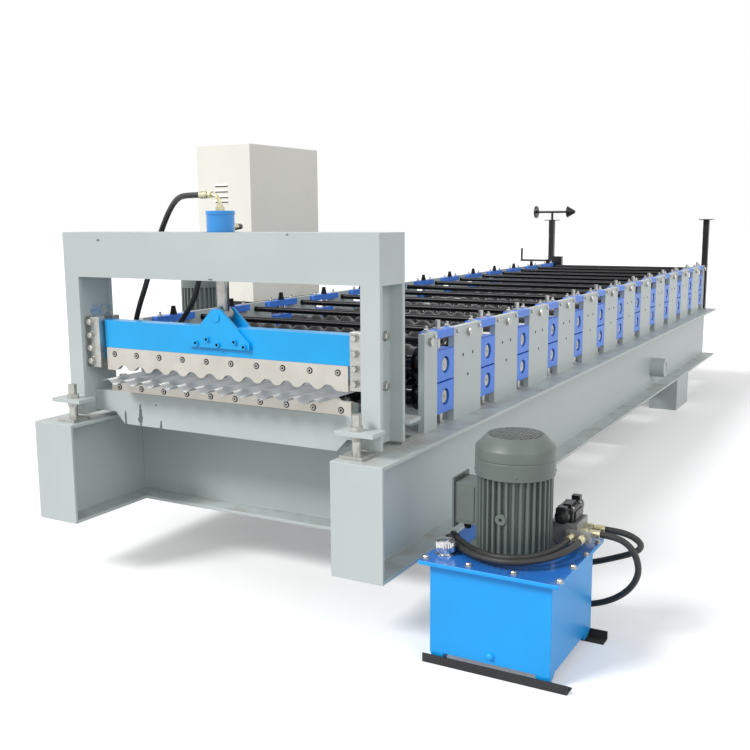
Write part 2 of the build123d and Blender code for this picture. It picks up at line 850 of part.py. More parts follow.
# Film stand at the entry end: two posts, a spool on the left one and a guide arm
post_y = rear_end - post_inset
post_top = rail_top + post_height
spool_z = above_rail_bottom(spool_height + beam_height)
arm_z = above_rail_bottom(guide_arm_height + beam_height)
with BuildPart() as film_stand:
    with BuildSketch(Plane.XY.offset(rail_top)):
        for side in sides:
            with Locations((side * post_x, post_y)):
                Rectangle(post_size, post_size)
    extrude(amount=post_height)
    with BuildSketch(Plane.XY.offset(post_top)):
        for side in sides:
            with Locations((side * post_x, post_y)):
                Rectangle(post_plate, post_plate)
    extrude(amount=post_plate_thickness)
    with BuildSketch(Plane.XY.offset(post_top + post_plate_thickness)):
        with Locations((-post_x, post_y)):
            Circle(spool_radius)
    extrude(amount=spool_z - post_top - post_plate_thickness)
    with BuildSketch(facing_side(-spool_start - spool_disc_thickness)):
        with Locations((post_y, spool_z)):
            Circle(spool_disc_radius)
    extrude(amount=spool_disc_thickness)
    with BuildSketch(facing_side(-spool_start)):
        with Locations((post_y, spool_z)):
            Circle(spool_radius)
    extrude(amount=spool_length + spool_cone_length)
    cone_place = Location((-spool_start + spool_length + spool_cone_length / 2, post_y, spool_z), (0, 90, 0))
    with Locations(cone_place):
        Cone(spool_cone_radius, spool_radius, spool_cone_length)
    block_start = -post_x + post_size / 2
    with BuildSketch(facing_side(block_start)):
        with Locations((post_y, arm_z)):
            Rectangle(post_size, guide_block)
    extrude(amount=guide_block)
    arm_end = -post_x - post_size / 2
    with BuildSketch(facing_side(arm_end)):
        with Locations((post_y, arm_z)):
            Circle(guide_arm_radius)
    extrude(amount=-guide_arm_length)
    with BuildSketch(Plane.XY.offset(arm_z - guide_arm_radius)):
        with Locations((arm_end - guide_arm_length + guide_arm_radius, post_y)):
            Circle(guide_arm_radius)
    extrude(amount=guide_arm_tip + 2 * guide_arm_radius)
save("film_stand", film_stand.part)

# Reducer and motor beside the left rail, on a shelf welded to it
rail_outer = rail_centre + beam_width / 2
drive_y = axis_y(drive_station)
reducer_face = -sprocket_end + drive_gap
reducer_bottom = rail_top
reducer_top = reducer_bottom + reducer_height
reducer_x = -(reducer_face + reducer_width / 2)
with BuildPart() as drive_unit:
    with BuildSketch(Plane.XY.offset(reducer_bottom - shelf_thickness)):
        with Locations((-(rail_outer + reducer_face + reducer_width) / 2, drive_y)):
            Rectangle(reducer_face + reducer_width - rail_outer, reducer_length)
    extrude(amount=shelf_thickness)
    for y in (drive_y - reducer_length / 2, drive_y + reducer_length / 2 - shelf_thickness):
        with BuildSketch(facing_exit(y)):
            with BuildLine():
                Polyline((-rail_outer, reducer_bottom - shelf_thickness),
                         (-reducer_face - reducer_width, reducer_bottom - shelf_thickness),
                         (-rail_outer, rail_bottom + beam_height / 4), close=True)
            make_face()
        extrude(amount=-shelf_thickness)
    with BuildSketch(Plane.XY.offset(reducer_bottom)):
        with Locations((reducer_x, drive_y)):
            Rectangle(reducer_width, reducer_length)
    extrude(amount=reducer_height)
    with BuildSketch(Plane.XY.offset(reducer_top)):
        with Locations((reducer_x, drive_y)):
            Circle(drive_motor_radius + drive_flange_height)
    extrude(amount=drive_flange_height)
    with BuildSketch(Plane.XY.offset(reducer_top + drive_flange_height)):
        with Locations((reducer_x, drive_y)):
            Circle(drive_motor_radius)
    extrude(amount=drive_motor_height)
save("drive_unit", drive_unit.part)

# Power pack: two angle skids, the tank with its feet and lid, motor, filler and valve block
tank_y = gantry_y + pack_y
tank_top = tank_floor + tank_height
lid_top = tank_top + lid_thickness
skid_x = site_half_width - skid_length / 2
skid_y = [tank_y - tank_depth / 2 - skid_overhang, tank_y + tank_depth / 2 + skid_overhang]
with BuildPart() as pack_skids:
    for y, inward in zip(skid_y, (1, -1)):
        with BuildSketch(facing_side(skid_x - skid_length / 2)):
            with BuildLine():
                Polyline((y, 0), (y, skid_leg), (y + inward * skid_thickness, skid_leg),
                         (y + inward * skid_thickness, skid_thickness), (y + inward * skid_foot, skid_thickness),
                         (y + inward * skid_foot, 0), close=True)
            make_face()
        extrude(amount=skid_length)
save("pack_skids", pack_skids.part)

inner_width = tank_width - 2 * tank_wall
inner_depth = tank_depth - 2 * tank_wall
foot_places = [(pack_x + i * (tank_width - foot_top) / 2, tank_y + j * (tank_depth - foot_top) / 2)
               for i in sides for j in sides]
with BuildPart() as pack_tank:
    with BuildSketch(Plane.XY.offset(tank_floor)):
        with Locations((pack_x, tank_y)):
            Rectangle(tank_width, tank_depth)
    extrude(amount=tank_height)
    with BuildSketch(Plane.XY.offset(tank_floor + tank_wall)):
        with Locations((pack_x, tank_y)):
            Rectangle(inner_width, inner_depth)
    extrude(amount=tank_height - tank_wall, mode=Mode.SUBTRACT)
    for x, y in foot_places:
        with BuildSketch(Plane.XY.offset(skid_thickness)):
            with Locations((x, y)):
                Rectangle(foot_bottom, foot_bottom)
        with BuildSketch(Plane.XY.offset(tank_floor)):
            with Locations((x, y)):
                Rectangle(foot_top, foot_top)
        loft()
    with BuildSketch(Plane.XY.offset(tank_top)):
        with Locations((pack_x, tank_y)):
            Rectangle(tank_width + 2 * lid_overhang, tank_depth + 2 * lid_overhang)
    extrude(amount=lid_thickness)
save("pack_tank", pack_tank.part)

motor_base = lid_top + motor_flange_height
cowl_z = lid_top + cowl_start
with BuildPart() as pack_motor:
    with BuildSketch(Plane.XY.offset(lid_top)):
        with Locations((pack_x, tank_y)):
            Circle(motor_flange_radius)
    extrude(amount=motor_flange_height)
    with BuildSketch(Plane.XY.offset(motor_base)):
        with Locations((pack_x, tank_y)):
            Circle(motor_radius - fin_height)
        with Locations((pack_x, tank_y)):
            with PolarLocations(motor_radius - (fin_height + fin_root) / 2, fin_count):
                Rectangle(fin_height + fin_root, fin_width)
    extrude(amount=cowl_z - motor_base)
    with BuildSketch(Plane.XY.offset(cowl_z)):
        with Locations((pack_x, tank_y)):
            Circle(cowl_radius)
    extrude(amount=cowl_height)
    with Locations((pack_x, tank_y, cowl_z + cowl_height + cowl_taper / 2)):
        Cone(cowl_radius, cowl_top_radius, cowl_taper)
    box_x = pack_x - motor_radius + fin_height - terminal_width / 2
    with BuildSketch(Plane.XY.offset(lid_top + terminal_start)):
        with Locations((box_x, tank_y)):
            Rectangle(terminal_width + 2 * fin_height, terminal_depth)
    extrude(amount=terminal_height)
save("pack_motor", pack_motor.part)

# Filler cap on its neck
with BuildPart() as filler_cap:
    with BuildSketch(Plane.XY.offset(lid_top)):
        with Locations((pack_x + filler_x, tank_y + filler_y)):
            Circle(neck_radius)
    extrude(amount=neck_height)
    with BuildSketch(Plane.XY.offset(lid_top + neck_height)):
        with Locations((pack_x + filler_x, tank_y + filler_y)):
            Circle(filler_radius)
    extrude(amount=filler_height)
save("filler_cap", filler_cap.part)

# Valve block with its solenoids, its hose ports and the return elbow at the lid's other end
block_x = pack_x + manifold_x
block_y = tank_y + manifold_y
block_z = lid_top + manifold_height
valve_z = block_z + valve_height / 2
port_z = lid_top + port_height
port_places = [block_y - manifold_depth / 4, block_y + manifold_depth / 4]
port_face = block_x + manifold_width / 2
bar_front = block_y - manifold_depth / 2 - port_bar_front
front_ports = [(port_face + x, port_z) for x in pump_ports]
return_places = [(pack_x + return_x, tank_y + y) for y in return_y]
with BuildPart() as pack_valve:
    with BuildSketch(Plane.XY.offset(lid_top)):
        with Locations((block_x, block_y)):
            Rectangle(manifold_width, manifold_depth)
    extrude(amount=manifold_height)
    with BuildSketch(Plane.XY.offset(block_z)):
        with Locations((block_x, block_y)):
            Rectangle(valve_width, valve_depth)
    extrude(amount=valve_height)
    for sign in sides:
        with BuildSketch(facing_exit(block_y + sign * valve_depth / 2)):
            with Locations((block_x, valve_z)):
                Circle(solenoid_radius)
        extrude(amount=-sign * solenoid_length)
    with BuildSketch(facing_side(port_face)):
        with Locations(*[(y, port_z) for y in port_places]):
            RegularPolygon(port_nut_radius, 6)
    extrude(amount=port_nut_length)
    with BuildSketch(facing_side(port_face + port_nut_length)):
        with Locations(*[(y, port_z) for y in port_places]):
            Circle(ferrule_radius)
    extrude(amount=ferrule_length)
    with BuildSketch(facing_exit(bar_front)):
        with Locations((port_face + (port_bar_start + port_bar_end) / 2, port_z)):
            Rectangle(port_bar_end - port_bar_start, port_bar_height)
    extrude(amount=-port_bar_depth)
    with BuildSketch(facing_exit(bar_front)):
        with Locations(*front_ports):
            RegularPolygon(port_nut_radius, 6)
    extrude(amount=port_nut_length)
    with BuildSketch(facing_exit(bar_front - port_nut_length)):
        with Locations(*front_ports):
            Circle(ferrule_radius)
    extrude(amount=ferrule_length)
    with BuildSketch(Plane.XY.offset(lid_top)):
        with Locations(*return_places):
            RegularPolygon(port_nut_radius, 6)
    extrude(amount=return_height)
    for x, y in return_places:
        with Locations((x, y, lid_top + return_height)):
            Sphere(port_nut_radius)
        with BuildSketch(Plane(origin=(x, y, lid_top + return_height), z_dir=(1, -1, 0))):
            Circle(port_nut_radius)
        extrude(amount=hypot(return_reach, return_reach))
save("pack_valve", pack_valve.part)

# Control cabinet on a closed stand, with its door and knob on the outer side
cabinet_left = -site_half_width + knob_reach
cabinet_right = cabinet_left + cabinet_width
cabinet_start = gantry_y + cabinet_front
cabinet_y = cabinet_start + cabinet_length / 2
box_left = cabinet_left + door_thickness
with BuildPart() as control_cabinet:
    with BuildSketch(Plane.XY.offset(cabinet_floor)):
        with Locations(((box_left + cabinet_right) / 2, cabinet_y)):
            Rectangle(cabinet_right - box_left, cabinet_length)
    extrude(amount=cabinet_height)
    with BuildSketch(facing_side(cabinet_left)):
        with Locations((cabinet_y, cabinet_floor + cabinet_height / 2)):
            Rectangle(cabinet_length - 2 * door_reveal, cabinet_height - 2 * door_reveal)
    extrude(amount=door_thickness)
    with BuildSketch(facing_side(-site_half_width)):
        with Locations((cabinet_start + knob_inset, cabinet_floor + cabinet_height - knob_drop)):
            Circle(knob_radius)
    extrude(amount=knob_reach)
save("control_cabinet", control_cabinet.part)

with BuildPart() as cabinet_stand:
    with BuildSketch(Plane.XY):
        with Locations(((box_left + cabinet_right) / 2, cabinet_y)):
            Rectangle(cabinet_right - box_left - 2 * stand_inset, cabinet_length - 2 * stand_inset)
    extrude(amount=cabinet_floor)
save("cabinet_stand", cabinet_stand.part)


# Hoses: each route's points are (x, distance behind the gantry's face, height over the rails' underside)
def make_hose(name, route):
    places = [Vector(x, gantry_y + y, above_rail_bottom(z)) for x, y, z in route]
    radii = []
    for before, corner, after in zip(places, places[1:], places[2:]):
        arriving = corner - before
        leaving = after - corner
        half_turn = radians(arriving.get_angle(leaving) / 2)
        radii.append(fillet_share * min(arriving.length, leaving.length) / tan(half_turn))
    print(name, "arc radii", [round(radius) for radius in radii])
    with BuildPart() as hose:
        with BuildLine():
            centre_line = FilletPolyline(*places, radius=radii)
        with BuildSketch(Plane(origin=places[0], z_dir=places[1] - places[0])):
            Circle(hose_radius)
        sweep(path=centre_line)
    section = pi * hose_radius ** 2
    print(name, "length", round(centre_line.length), "volume check", hose.part.volume / section / centre_line.length)
    return hose.part


press_hose_route = [
    (-79, 80, 1121), (-124, 80, 1121), (-180, 100, 1118), (-232, 131, 1101), (-281, 160, 1072),
    (-322, 180, 1034), (-368, 196, 972), (-408, 203, 894), (-440, 206, 818), (-476, 207, 744),
    (-506, 210, 672), (-526, 220, 598), (-532, 246, 528), (-524, 290, 466), (-512, 348, 414),
    (-500, 408, 380), (-487, 458, 318), (-470, 486, 254), (-440, 494, 192), (-396, 488, 136),
    (-336, 468, 90), (-262, 440, 56), (-174, 412, 32), (-66, 396, 22), (76, 392, 23), (220, 392, 22),
    (334, 406, 28), (414, 446, 22), (480, 484, -8), (556, 508, -36), (650, 514, -58), (744, 498, -68),
    (836, 476, -72), (930, 450, -70), (1022, 424, -54), (1104, 404, -30), (1172, 390, -6),
    (1230, 378, 20), (1280, 360, 46), (1316, 328, 76), (1326, 292, 108), (1304, 267, 134),
    (1266, 265, 142), (1228, 265, 142)]
return_hose_route = [
    (-22, 190, 1018), (-30, 230, 1018), (-66, 260, 1019), (-118, 274, 1018), (-172, 270, 1006),
    (-208, 256, 966), (-220, 246, 906), (-226, 240, 836), (-252, 240, 764), (-296, 242, 708),
    (-346, 246, 656), (-396, 256, 606), (-438, 276, 554), (-466, 308, 500), (-474, 350, 448),
    (-468, 396, 402), (-456, 440, 352), (-438, 466, 290), (-408, 468, 226), (-364, 452, 168),
    (-304, 428, 118), (-232, 400, 76), (-150, 374, 44), (-50, 358, 26), (80, 355, 22), (215, 357, 22),
    (320, 376, 26), (410, 416, 33), (484, 456, 10), (544, 476, -36), (614, 476, -78), (700, 450, -108),
    (800, 424, -130), (900, 392, -142), (1000, 356, -142), (1092, 328, -134), (1180, 313, -116),
    (1248, 304, -84), (1300, 286, -36), (1330, 262, 22), (1330, 238, 76), (1312, 220, 120),
    (1274, 213, 142), (1228, 213, 142)]
pump_hose_front_route = [
    (1192, 119, 142), (1192, 80, 142), (1182, 26, 140), (1154, -32, 136), (1106, -78, 132),
    (1042, -96, 129), (972, -78, 126), (922, -48, 124), (880, -8, 119), (846, 26, 119)]
pump_hose_back_route = [
    (1160, 119, 142), (1160, 80, 142), (1154, 30, 141), (1130, -22, 138), (1088, -60, 135),
    (1034, -73, 132), (982, -60, 129), (938, -30, 126), (908, -2, 122), (880, 26, 119), (846, 60, 119)]
save("press_hose", make_hose("press_hose", press_hose_route))
save("return_hose", make_hose("return_hose", return_hose_route))
save("pump_hose_front", make_hose("pump_hose_front", pump_hose_front_route))
save("pump_hose_back", make_hose("pump_hose_back", pump_hose_back_route))
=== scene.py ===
"""Looks of the roll forming machine: materials, rolls, chain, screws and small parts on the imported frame."""
import json
from math import cos, pi, radians, sin

import bmesh
import bpy
from mathutils import Matrix, Vector


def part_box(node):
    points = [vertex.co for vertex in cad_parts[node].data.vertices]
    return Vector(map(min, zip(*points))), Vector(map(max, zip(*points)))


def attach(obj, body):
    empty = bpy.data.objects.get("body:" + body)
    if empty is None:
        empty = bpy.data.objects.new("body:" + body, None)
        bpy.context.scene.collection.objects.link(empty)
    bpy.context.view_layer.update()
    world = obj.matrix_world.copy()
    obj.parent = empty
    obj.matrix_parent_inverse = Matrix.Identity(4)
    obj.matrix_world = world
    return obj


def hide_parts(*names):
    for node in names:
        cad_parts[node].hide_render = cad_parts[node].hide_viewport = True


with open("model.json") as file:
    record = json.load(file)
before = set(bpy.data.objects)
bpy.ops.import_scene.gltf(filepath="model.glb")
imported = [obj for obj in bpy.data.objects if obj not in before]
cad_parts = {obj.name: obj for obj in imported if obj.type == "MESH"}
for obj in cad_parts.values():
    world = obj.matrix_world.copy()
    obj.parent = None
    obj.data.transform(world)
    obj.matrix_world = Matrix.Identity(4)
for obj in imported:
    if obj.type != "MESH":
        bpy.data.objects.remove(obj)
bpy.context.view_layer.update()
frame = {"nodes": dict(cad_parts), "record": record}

# Places shared with the part, in millimetres
GANTRY_Y = -2518
RAIL_UNDER = 200
RAIL_TOP = 550
RAIL_CENTRE = 606
FIRST_AXIS = GANTRY_Y + 499
PITCH = 372
STATIONS = 13
LOWER_AXIS = 644.5
UPPER_AXIS = 754.5
PLATE_FACE = 605
PASS_LINE = 699.5
WAVE_PITCH = 76
CYLINDER_Y = 80
PACK_X = 1015
PACK_Y = GANTRY_Y + 82
LID_TOP = 305
TANK_FRONT = PACK_Y - 185.5
BLADE_FACE = GANTRY_Y + 46
LOWER_BLADE_FACE = GANTRY_Y + 62.4

# Directions
SIDES = (-1, 1)
UP = Vector((0, 0, 1))
TO_EXIT = Vector((0, -1, 0))
TO_ENTRY = Vector((0, 1, 0))
TO_RIGHT = Vector((1, 0, 0))
TO_LEFT = Vector((-1, 0, 0))

# How far clouds and grain move the gloss of a finish
UNEVEN_GLOSS = 0.06


def behind(x, y, z):
    """A place from one measured behind the gantry's face and over the rails' underside."""
    return Vector((x, y + GANTRY_Y, z + RAIL_UNDER))


def station_y(index):
    """Place of a roll station along the machine."""
    return FIRST_AXIS + index * PITCH


def corners_of(node):
    """Low and high corner of a node's box, in millimetres."""
    return [Vector(corner) * 1000 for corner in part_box(node)]


def slot_of(node):
    """The material slot that the record gives a node."""
    return next(item["material_slot"] for item in frame["record"]["subparts"] if item["node"] == node)


def set_camera():
    """The camera at the photograph's place, solved from the frame's straight edges."""
    yaw, pitch, roll = -0.50697, -0.162929, -0.006556
    forward = Vector((sin(yaw) * cos(pitch), cos(yaw) * cos(pitch), sin(pitch)))
    level = Vector((cos(yaw), -sin(yaw), 0))
    upright = level.cross(forward)
    right = cos(roll) * level + sin(roll) * upright
    up = cos(roll) * upright - sin(roll) * level
    camera = bpy.data.objects.new("camera", bpy.data.cameras.new("camera"))
    camera.data.lens = 46.10
    camera.data.sensor_width = 36
    camera.data.clip_end = 100
    aimed = Matrix((right, up, -forward)).transposed().to_4x4()
    camera.matrix_world = Matrix.Translation(Vector((1.9497, -4.9325, 1.2465))) @ aimed
    bpy.context.scene.collection.objects.link(camera)
    bpy.context.scene.camera = camera


set_camera()


# Node trees
def live(sockets, name):
    """The socket at a number, or the one in use among those of one name."""
    if isinstance(name, int):
        return sockets[name]
    return next(socket for socket in sockets if socket.name == name and socket.enabled)


def joined(tree, kind, inputs=None, **settings):
    """Adds a node, sets its options, and gives each input a value or a link."""
    node = tree.nodes.new(kind)
    for name, value in settings.items():
        setattr(node, name, value)
    for name, value in (inputs or {}).items():
        socket = live(node.inputs, name)
        if isinstance(value, bpy.types.NodeSocket):
            tree.links.new(value, socket)
        else:
            socket.default_value = value
    return node


def made(tree, kind, inputs=None, **settings):
    """The first output of a new node."""
    return joined(tree, kind, inputs, **settings).outputs[0]


def axes_of(tree, vector):
    """The three numbers of a vector."""
    return joined(tree, "ShaderNodeSeparateXYZ", {"Vector": vector}).outputs


def maths(tree, kind, a, b=0.0):
    """The result of a math node on two numbers, or on the first alone."""
    return made(tree, "ShaderNodeMath", {0: a, 1: b}, operation=kind)


def times(tree, a, b):
    return maths(tree, "MULTIPLY", a, b)


def plus(tree, a, b):
    return maths(tree, "ADD", a, b)


def minus(tree, a, b):
    return maths(tree, "SUBTRACT", a, b)


def ramp(tree, value, low, high, start=0.0, end=1.0):
    """Maps low..high of a value to start..end, smoothly."""
    return made(tree, "ShaderNodeMapRange",
                {"Value": value, "From Min": low, "From Max": high, "To Min": start, "To Max": end},
                interpolation_type="SMOOTHSTEP")


def blended(tree, share, under, over, kind="RGBA"):
    """A colour or number between two, by share."""
    node = joined(tree, "ShaderNodeMix", {"Factor": share, "A": under, "B": over}, data_type=kind)
    return live(node.outputs, "Result")


def noise(tree, place, scale, detail=3.0, rough=0.55):
    """Cloudy values from 0 to 1."""
    return joined(tree, "ShaderNodeTexNoise", {"Vector": place, "Scale": scale, "Detail": detail,
                                               "Roughness": rough}).outputs["Fac"]


def linear(colour):
    """Linear colour from a written one such as C4CDCB."""
    values = [int(colour[i:i + 2], 16) / 255 for i in (0, 2, 4)]
    return [v / 12.92 if v <= 0.04045 else ((v + 0.055) / 1.055) ** 2.4 for v in values] + [1]


class Finish:
    """A material on object coordinates, with patchy colour, uneven gloss and a fine bump."""

    def __init__(self, name, colour, gloss, metal=0.0, patch=0.06, patch_scale=5.0, fine=420.0, depth=0.0002,
                 stretch=(1, 1, 1), coat=0.0):
        self.material = bpy.data.materials.new(name)
        self.material.use_nodes = True
        self.tree = tree = self.material.node_tree
        self.shader = tree.nodes["Principled BSDF"]
        self.place = joined(tree, "ShaderNodeTexCoord").outputs["Object"]
        axes = axes_of(tree, self.place)
        self.x, self.z = axes["X"], axes["Z"]
        cloud = noise(tree, self.place, patch_scale)
        base = linear(colour)
        darker = [max(0, c * (1 - 2 * patch)) for c in base[:3]] + [1]
        lighter = [min(1, c * (1 + patch)) for c in base[:3]] + [1]
        self.colour = blended(tree, ramp(tree, cloud, 0.3, 0.7), darker, lighter)
        drawn = made(tree, "ShaderNodeMapping", {"Vector": self.place, "Scale": stretch})
        grain = noise(tree, drawn, fine, 2.0)
        cloudy = times(tree, minus(tree, cloud, 0.5), 2 * UNEVEN_GLOSS)
        grainy = times(tree, minus(tree, grain, 0.5), UNEVEN_GLOSS)
        self.gloss = plus(tree, cloudy, plus(tree, gloss, grainy))
        self.height = grain
        self.depth = depth
        self.shader.inputs["Metallic"].default_value = metal
        self.shader.inputs["Coat Weight"].default_value = coat
        self.shader.inputs["Coat Roughness"].default_value = 0.12

    def mix(self, colour, gloss, *shares):
        """Lays another colour, and if given another gloss, over the finish by the product of the shares."""
        share, *others = shares
        for other in others:
            share = times(self.tree, share, other)
        self.colour = blended(self.tree, share, self.colour, linear(colour))
        if gloss is not None:
            self.gloss = blended(self.tree, share, self.gloss, gloss, "FLOAT")

    def facing_up(self):
        """1 on faces that look up."""
        normal = joined(self.tree, "ShaderNodeNewGeometry").outputs["Normal"]
        return ramp(self.tree, axes_of(self.tree, normal)["Z"], 0.6, 0.9)

    def clouds(self, scale, detail, low, high, most, rough=0.55):
        """Patches that reach from 0 to the most."""
        return ramp(self.tree, noise(self.tree, self.place, scale, detail, rough), low, high, 0.0, most)

    def near(self, x, y, z, reach, ragged):
        """1 inside a ragged blob; the place and the three half widths are in metres."""
        tree = self.tree
        offset = made(tree, "ShaderNodeVectorMath", {0: self.place, 1: (x, y, z)}, operation="SUBTRACT")
        share = made(tree, "ShaderNodeVectorMath", {0: offset, 1: reach}, operation="DIVIDE")
        far = joined(tree, "ShaderNodeVectorMath", {0: share}, operation="LENGTH").outputs["Value"]
        warp = times(tree, minus(tree, noise(tree, self.place, 60.0, rough=0.5), 0.5), 4 * ragged)
        return ramp(tree, plus(tree, far, warp), 1.0, 0.8)

    def done(self):
        """Joins the finish to its shader."""
        tree = self.tree
        tree.links.new(self.colour, self.shader.inputs["Base Color"])
        tree.links.new(maths(tree, "MAXIMUM", self.gloss, 0.03), self.shader.inputs["Roughness"])
        bump = made(tree, "ShaderNodeBump", {"Height": self.height, "Strength": 0.6, "Distance": self.depth})
        tree.links.new(bump, self.shader.inputs["Normal"])
        return self.material


def frame_paint():
    """Light grey-green paint with specks, and dust on its upward faces."""
    paint = Finish("frame_paint", "C3CCCB", 0.42, patch=0.025, patch_scale=2.2, fine=300, depth=0.0003)
    paint.mix("A9A49D", 0.62, paint.clouds(9.0, 5.0, 0.42, 0.66, 0.55), paint.facing_up())
    paint.mix("9FA8A7", 0.55, paint.clouds(38.0, 4.0, 0.7, 0.78, 0.5, rough=0.7))
    return paint


def scratched_paint():
    """Frame paint on the lower beam, scraped to dark primer near its left end."""
    paint = frame_paint()
    face = GANTRY_Y / 1000 + 0.06
    for x, z, wide, tall in ((-0.362, 0.568, 0.009, 0.05), (-0.269, 0.541, 0.006, 0.018),
                             (-0.431, 0.55, 0.005, 0.03), (-0.289, 0.611, 0.004, 0.004)):
        paint.mix("4B5354", 0.6, paint.near(x, face, z, (wide, 0.03, tall), 0.55), 0.85)
    return paint.done()


def gantry_paint():
    """Frame paint on the gantry, with blue overspray inside the left leg and dark marks on the header."""
    paint = frame_paint()
    face = GANTRY_Y / 1000
    blob = paint.near(-0.569, face + 0.105, 0.925, (0.02, 0.055, 0.028), 0.3)
    paint.mix("3C97D2", None, paint.clouds(26.0, 4.0, 0.42, 0.6, 0.75, rough=0.7), blob)
    for x, z in ((-0.46, 1.176), (0.015, 1.055), (0.31, 1.196)):
        paint.mix("7C8180", 0.6, paint.near(x, face, z, (0.009, 0.02, 0.004), 0.5))
    return paint.done()


def tank_paint():
    """Bright blue paint, deeper on the lid."""
    paint = Finish("tank_blue", "14A8FA", 0.4, patch=0.03, patch_scale=4, fine=260, depth=0.0003, coat=0.08)
    lid = ramp(paint.tree, paint.z, (LID_TOP - 26) / 1000, (LID_TOP - 23) / 1000)
    paint.mix("2B74CA", 0.22, lid, paint.facing_up())
    return paint.done()


def roll_steel():
    """Black polished rolls."""
    steel = Finish("roll_black", "141416", 0.16, patch=0.1, patch_scale=14, fine=160, stretch=(0.6, 3, 3),
                   coat=0.15)
    steel.shader.inputs["Specular IOR Level"].default_value = 0.3
    return steel.done()


def screws_finish():
    """Zinc screws; the setting spindles over the left row of plates are black."""
    zinc = Finish("zinc_screws", "B9B9B4", 0.3, metal=0.9, patch=0.1, patch_scale=30, fine=500)
    left = ramp(zinc.tree, zinc.x, -0.1, -0.2)
    high = ramp(zinc.tree, zinc.z, 0.872, 0.874)
    zinc.mix("1A1A1B", 0.35, left, high)
    return zinc.done()


def rods_finish():
    """Tie rods are black between the plates and zinc at their nuts."""
    zinc = Finish("tie_rod_steel", "BDBDB8", 0.3, metal=0.7, patch=0.1, patch_scale=30, fine=500)
    zinc.mix("17171A", 0.28, ramp(zinc.tree, maths(zinc.tree, "ABSOLUTE", zinc.x), 0.6, 0.59))
    return zinc.done()


def valve_finish():
    """Black steel, with a grey manifold under the valve."""
    steel = Finish("valve_black", "232426", 0.35, patch=0.1, patch_scale=30, fine=500, depth=0.0003)
    steel.mix("9A9C9B", 0.4, ramp(steel.tree, steel.z, (LID_TOP + 66.5) / 1000, (LID_TOP + 65.5) / 1000))
    return steel.done()


def cabinet_paint():
    """Cream powder coat, with painted shade, darker and yellower in patches, towards the cabinet's bottom."""
    paint = Finish("cabinet_cream", "F6F4EB", 0.45, patch=0.015, patch_scale=2.5, fine=700, depth=0.0004)
    # Painted shade: darker, yellower cream in patches from 0.95 m down to 0.83 m, over the cabinet's rounded
    # bottom
    paint.mix("CFC9B6", 0.5, ramp(paint.tree, paint.z, 0.95, 0.83), paint.clouds(7.0, 4.0, 0.4, 0.7, 0.3))
    return paint.done()


def cowl_grille():
    """Dark perforated sheet on top of the motor's cowl; its holes are painted shade in near-black, with a
    bump, and not cut.
    """
    steel = Finish("cowl_grille", "59615C", 0.5, patch=0.05, patch_scale=20)
    cells = made(steel.tree, "ShaderNodeTexVoronoi",
                 {"Vector": steel.place, "Scale": 95.0, "Randomness": 0.25})
    hole = ramp(steel.tree, cells, 0.36, 0.3)
    # Painted shade: near-black colour in the holes
    steel.mix("16191A", 0.8, hole)
    steel.height = minus(steel.tree, 1.0, hole)
    steel.depth = 0.001
    return steel.done()


FRAME = frame_paint().done()
BLOCKS = Finish("block_blue", "4386F2", 0.42, patch=0.05, patch_scale=9, fine=300, coat=0.05).done()
BRIGHT = Finish("ram_blue", "06ACF2", 0.38, patch=0.03, fine=280, depth=0.0003, coat=0.1).done()
TANK = tank_paint()
ROLLS = roll_steel()
BLACK_STEEL = Finish("blackened_steel", "1A1A1C", 0.36, metal=0.2, patch=0.12, patch_scale=18).done()
ZINC = Finish("zinc", "BEBEB9", 0.3, metal=0.85, patch=0.08, patch_scale=40, fine=600).done()
CYLINDER = Finish("cylinder_blue", "2A96E6", 0.22, patch=0.04, patch_scale=8, fine=260, coat=0.4).done()
ROD = Finish("rod_steel", "A9A7A2", 0.24, metal=0.85, patch=0.14, patch_scale=16, fine=200,
             stretch=(6, 6, 0.5)).done()
CHROME = Finish("chrome", "D9D9DA", 0.1, metal=1, patch=0.03, patch_scale=20, fine=300, depth=0.00005).done()
BRASS = Finish("yellow_zinc", "CDC5A4", 0.28, metal=0.9, patch=0.08, patch_scale=40, fine=500).done()
BLADE = Finish("blade_steel", "CFCBC2", 0.34, metal=0.55, patch=0.04, patch_scale=12, fine=240,
               stretch=(0.4, 1, 6)).done()
SHEET = Finish("galvanised_sheet", "B6BABC", 0.34, metal=0.6, patch=0.04, patch_scale=25, fine=200,
               stretch=(3, 0.3, 3), depth=0.0001).done()
MOTOR = Finish("motor_grey", "6C7570", 0.42, patch=0.06, patch_scale=8, fine=240, depth=0.0005).done()
GRILLE = cowl_grille()
CREAM = cabinet_paint()
STAND = Finish("stand_black", "1C1C1D", 0.5, patch=0.1, patch_scale=6, fine=500, depth=0.0003).done()
SKIDS = Finish("skid_black", "222323", 0.55, patch=0.15, patch_scale=12, fine=300, depth=0.0004).done()
VALVE = valve_finish()
RUBBER = Finish("hose_rubber", "2C2C2B", 0.5, patch=0.12, patch_scale=30, fine=900, depth=0.0004).done()
# Near-black finish: painted shade in socket wells, counterbores, plate holes, louvre slots and the motor
# boss's bore; the real colour of the cable gland
BLACK_AND_SHADE = Finish("black_and_painted_shade", "101011", 0.7, patch=0.1, patch_scale=30, fine=500).done()


# Hoses first: the hoses between the pack and the cylinder
def hose(name, node, route):
    """One hose on the part's own route, as a smooth spline."""
    places = [behind(*point) / 1000 for point in route]
    curve = bpy.data.curves.new(name, "CURVE")
    curve.dimensions = "3D"
    curve.bevel_depth = 0.0095
    curve.bevel_resolution = 5
    curve.resolution_u = 8
    curve.use_fill_caps = True
    spline = curve.splines.new("NURBS")
    spline.points.add(len(places) - 1)
    for point, place in zip(spline.points, places):
        point.co = (*place, 1)
    spline.order_u = 3
    spline.use_endpoint_u = True
    curve.materials.append(RUBBER)
    piece = bpy.data.objects.new(name, curve)
    bpy.context.scene.collection.objects.link(piece)
    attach(piece, "frame")
    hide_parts(node)
    return piece, places[0]


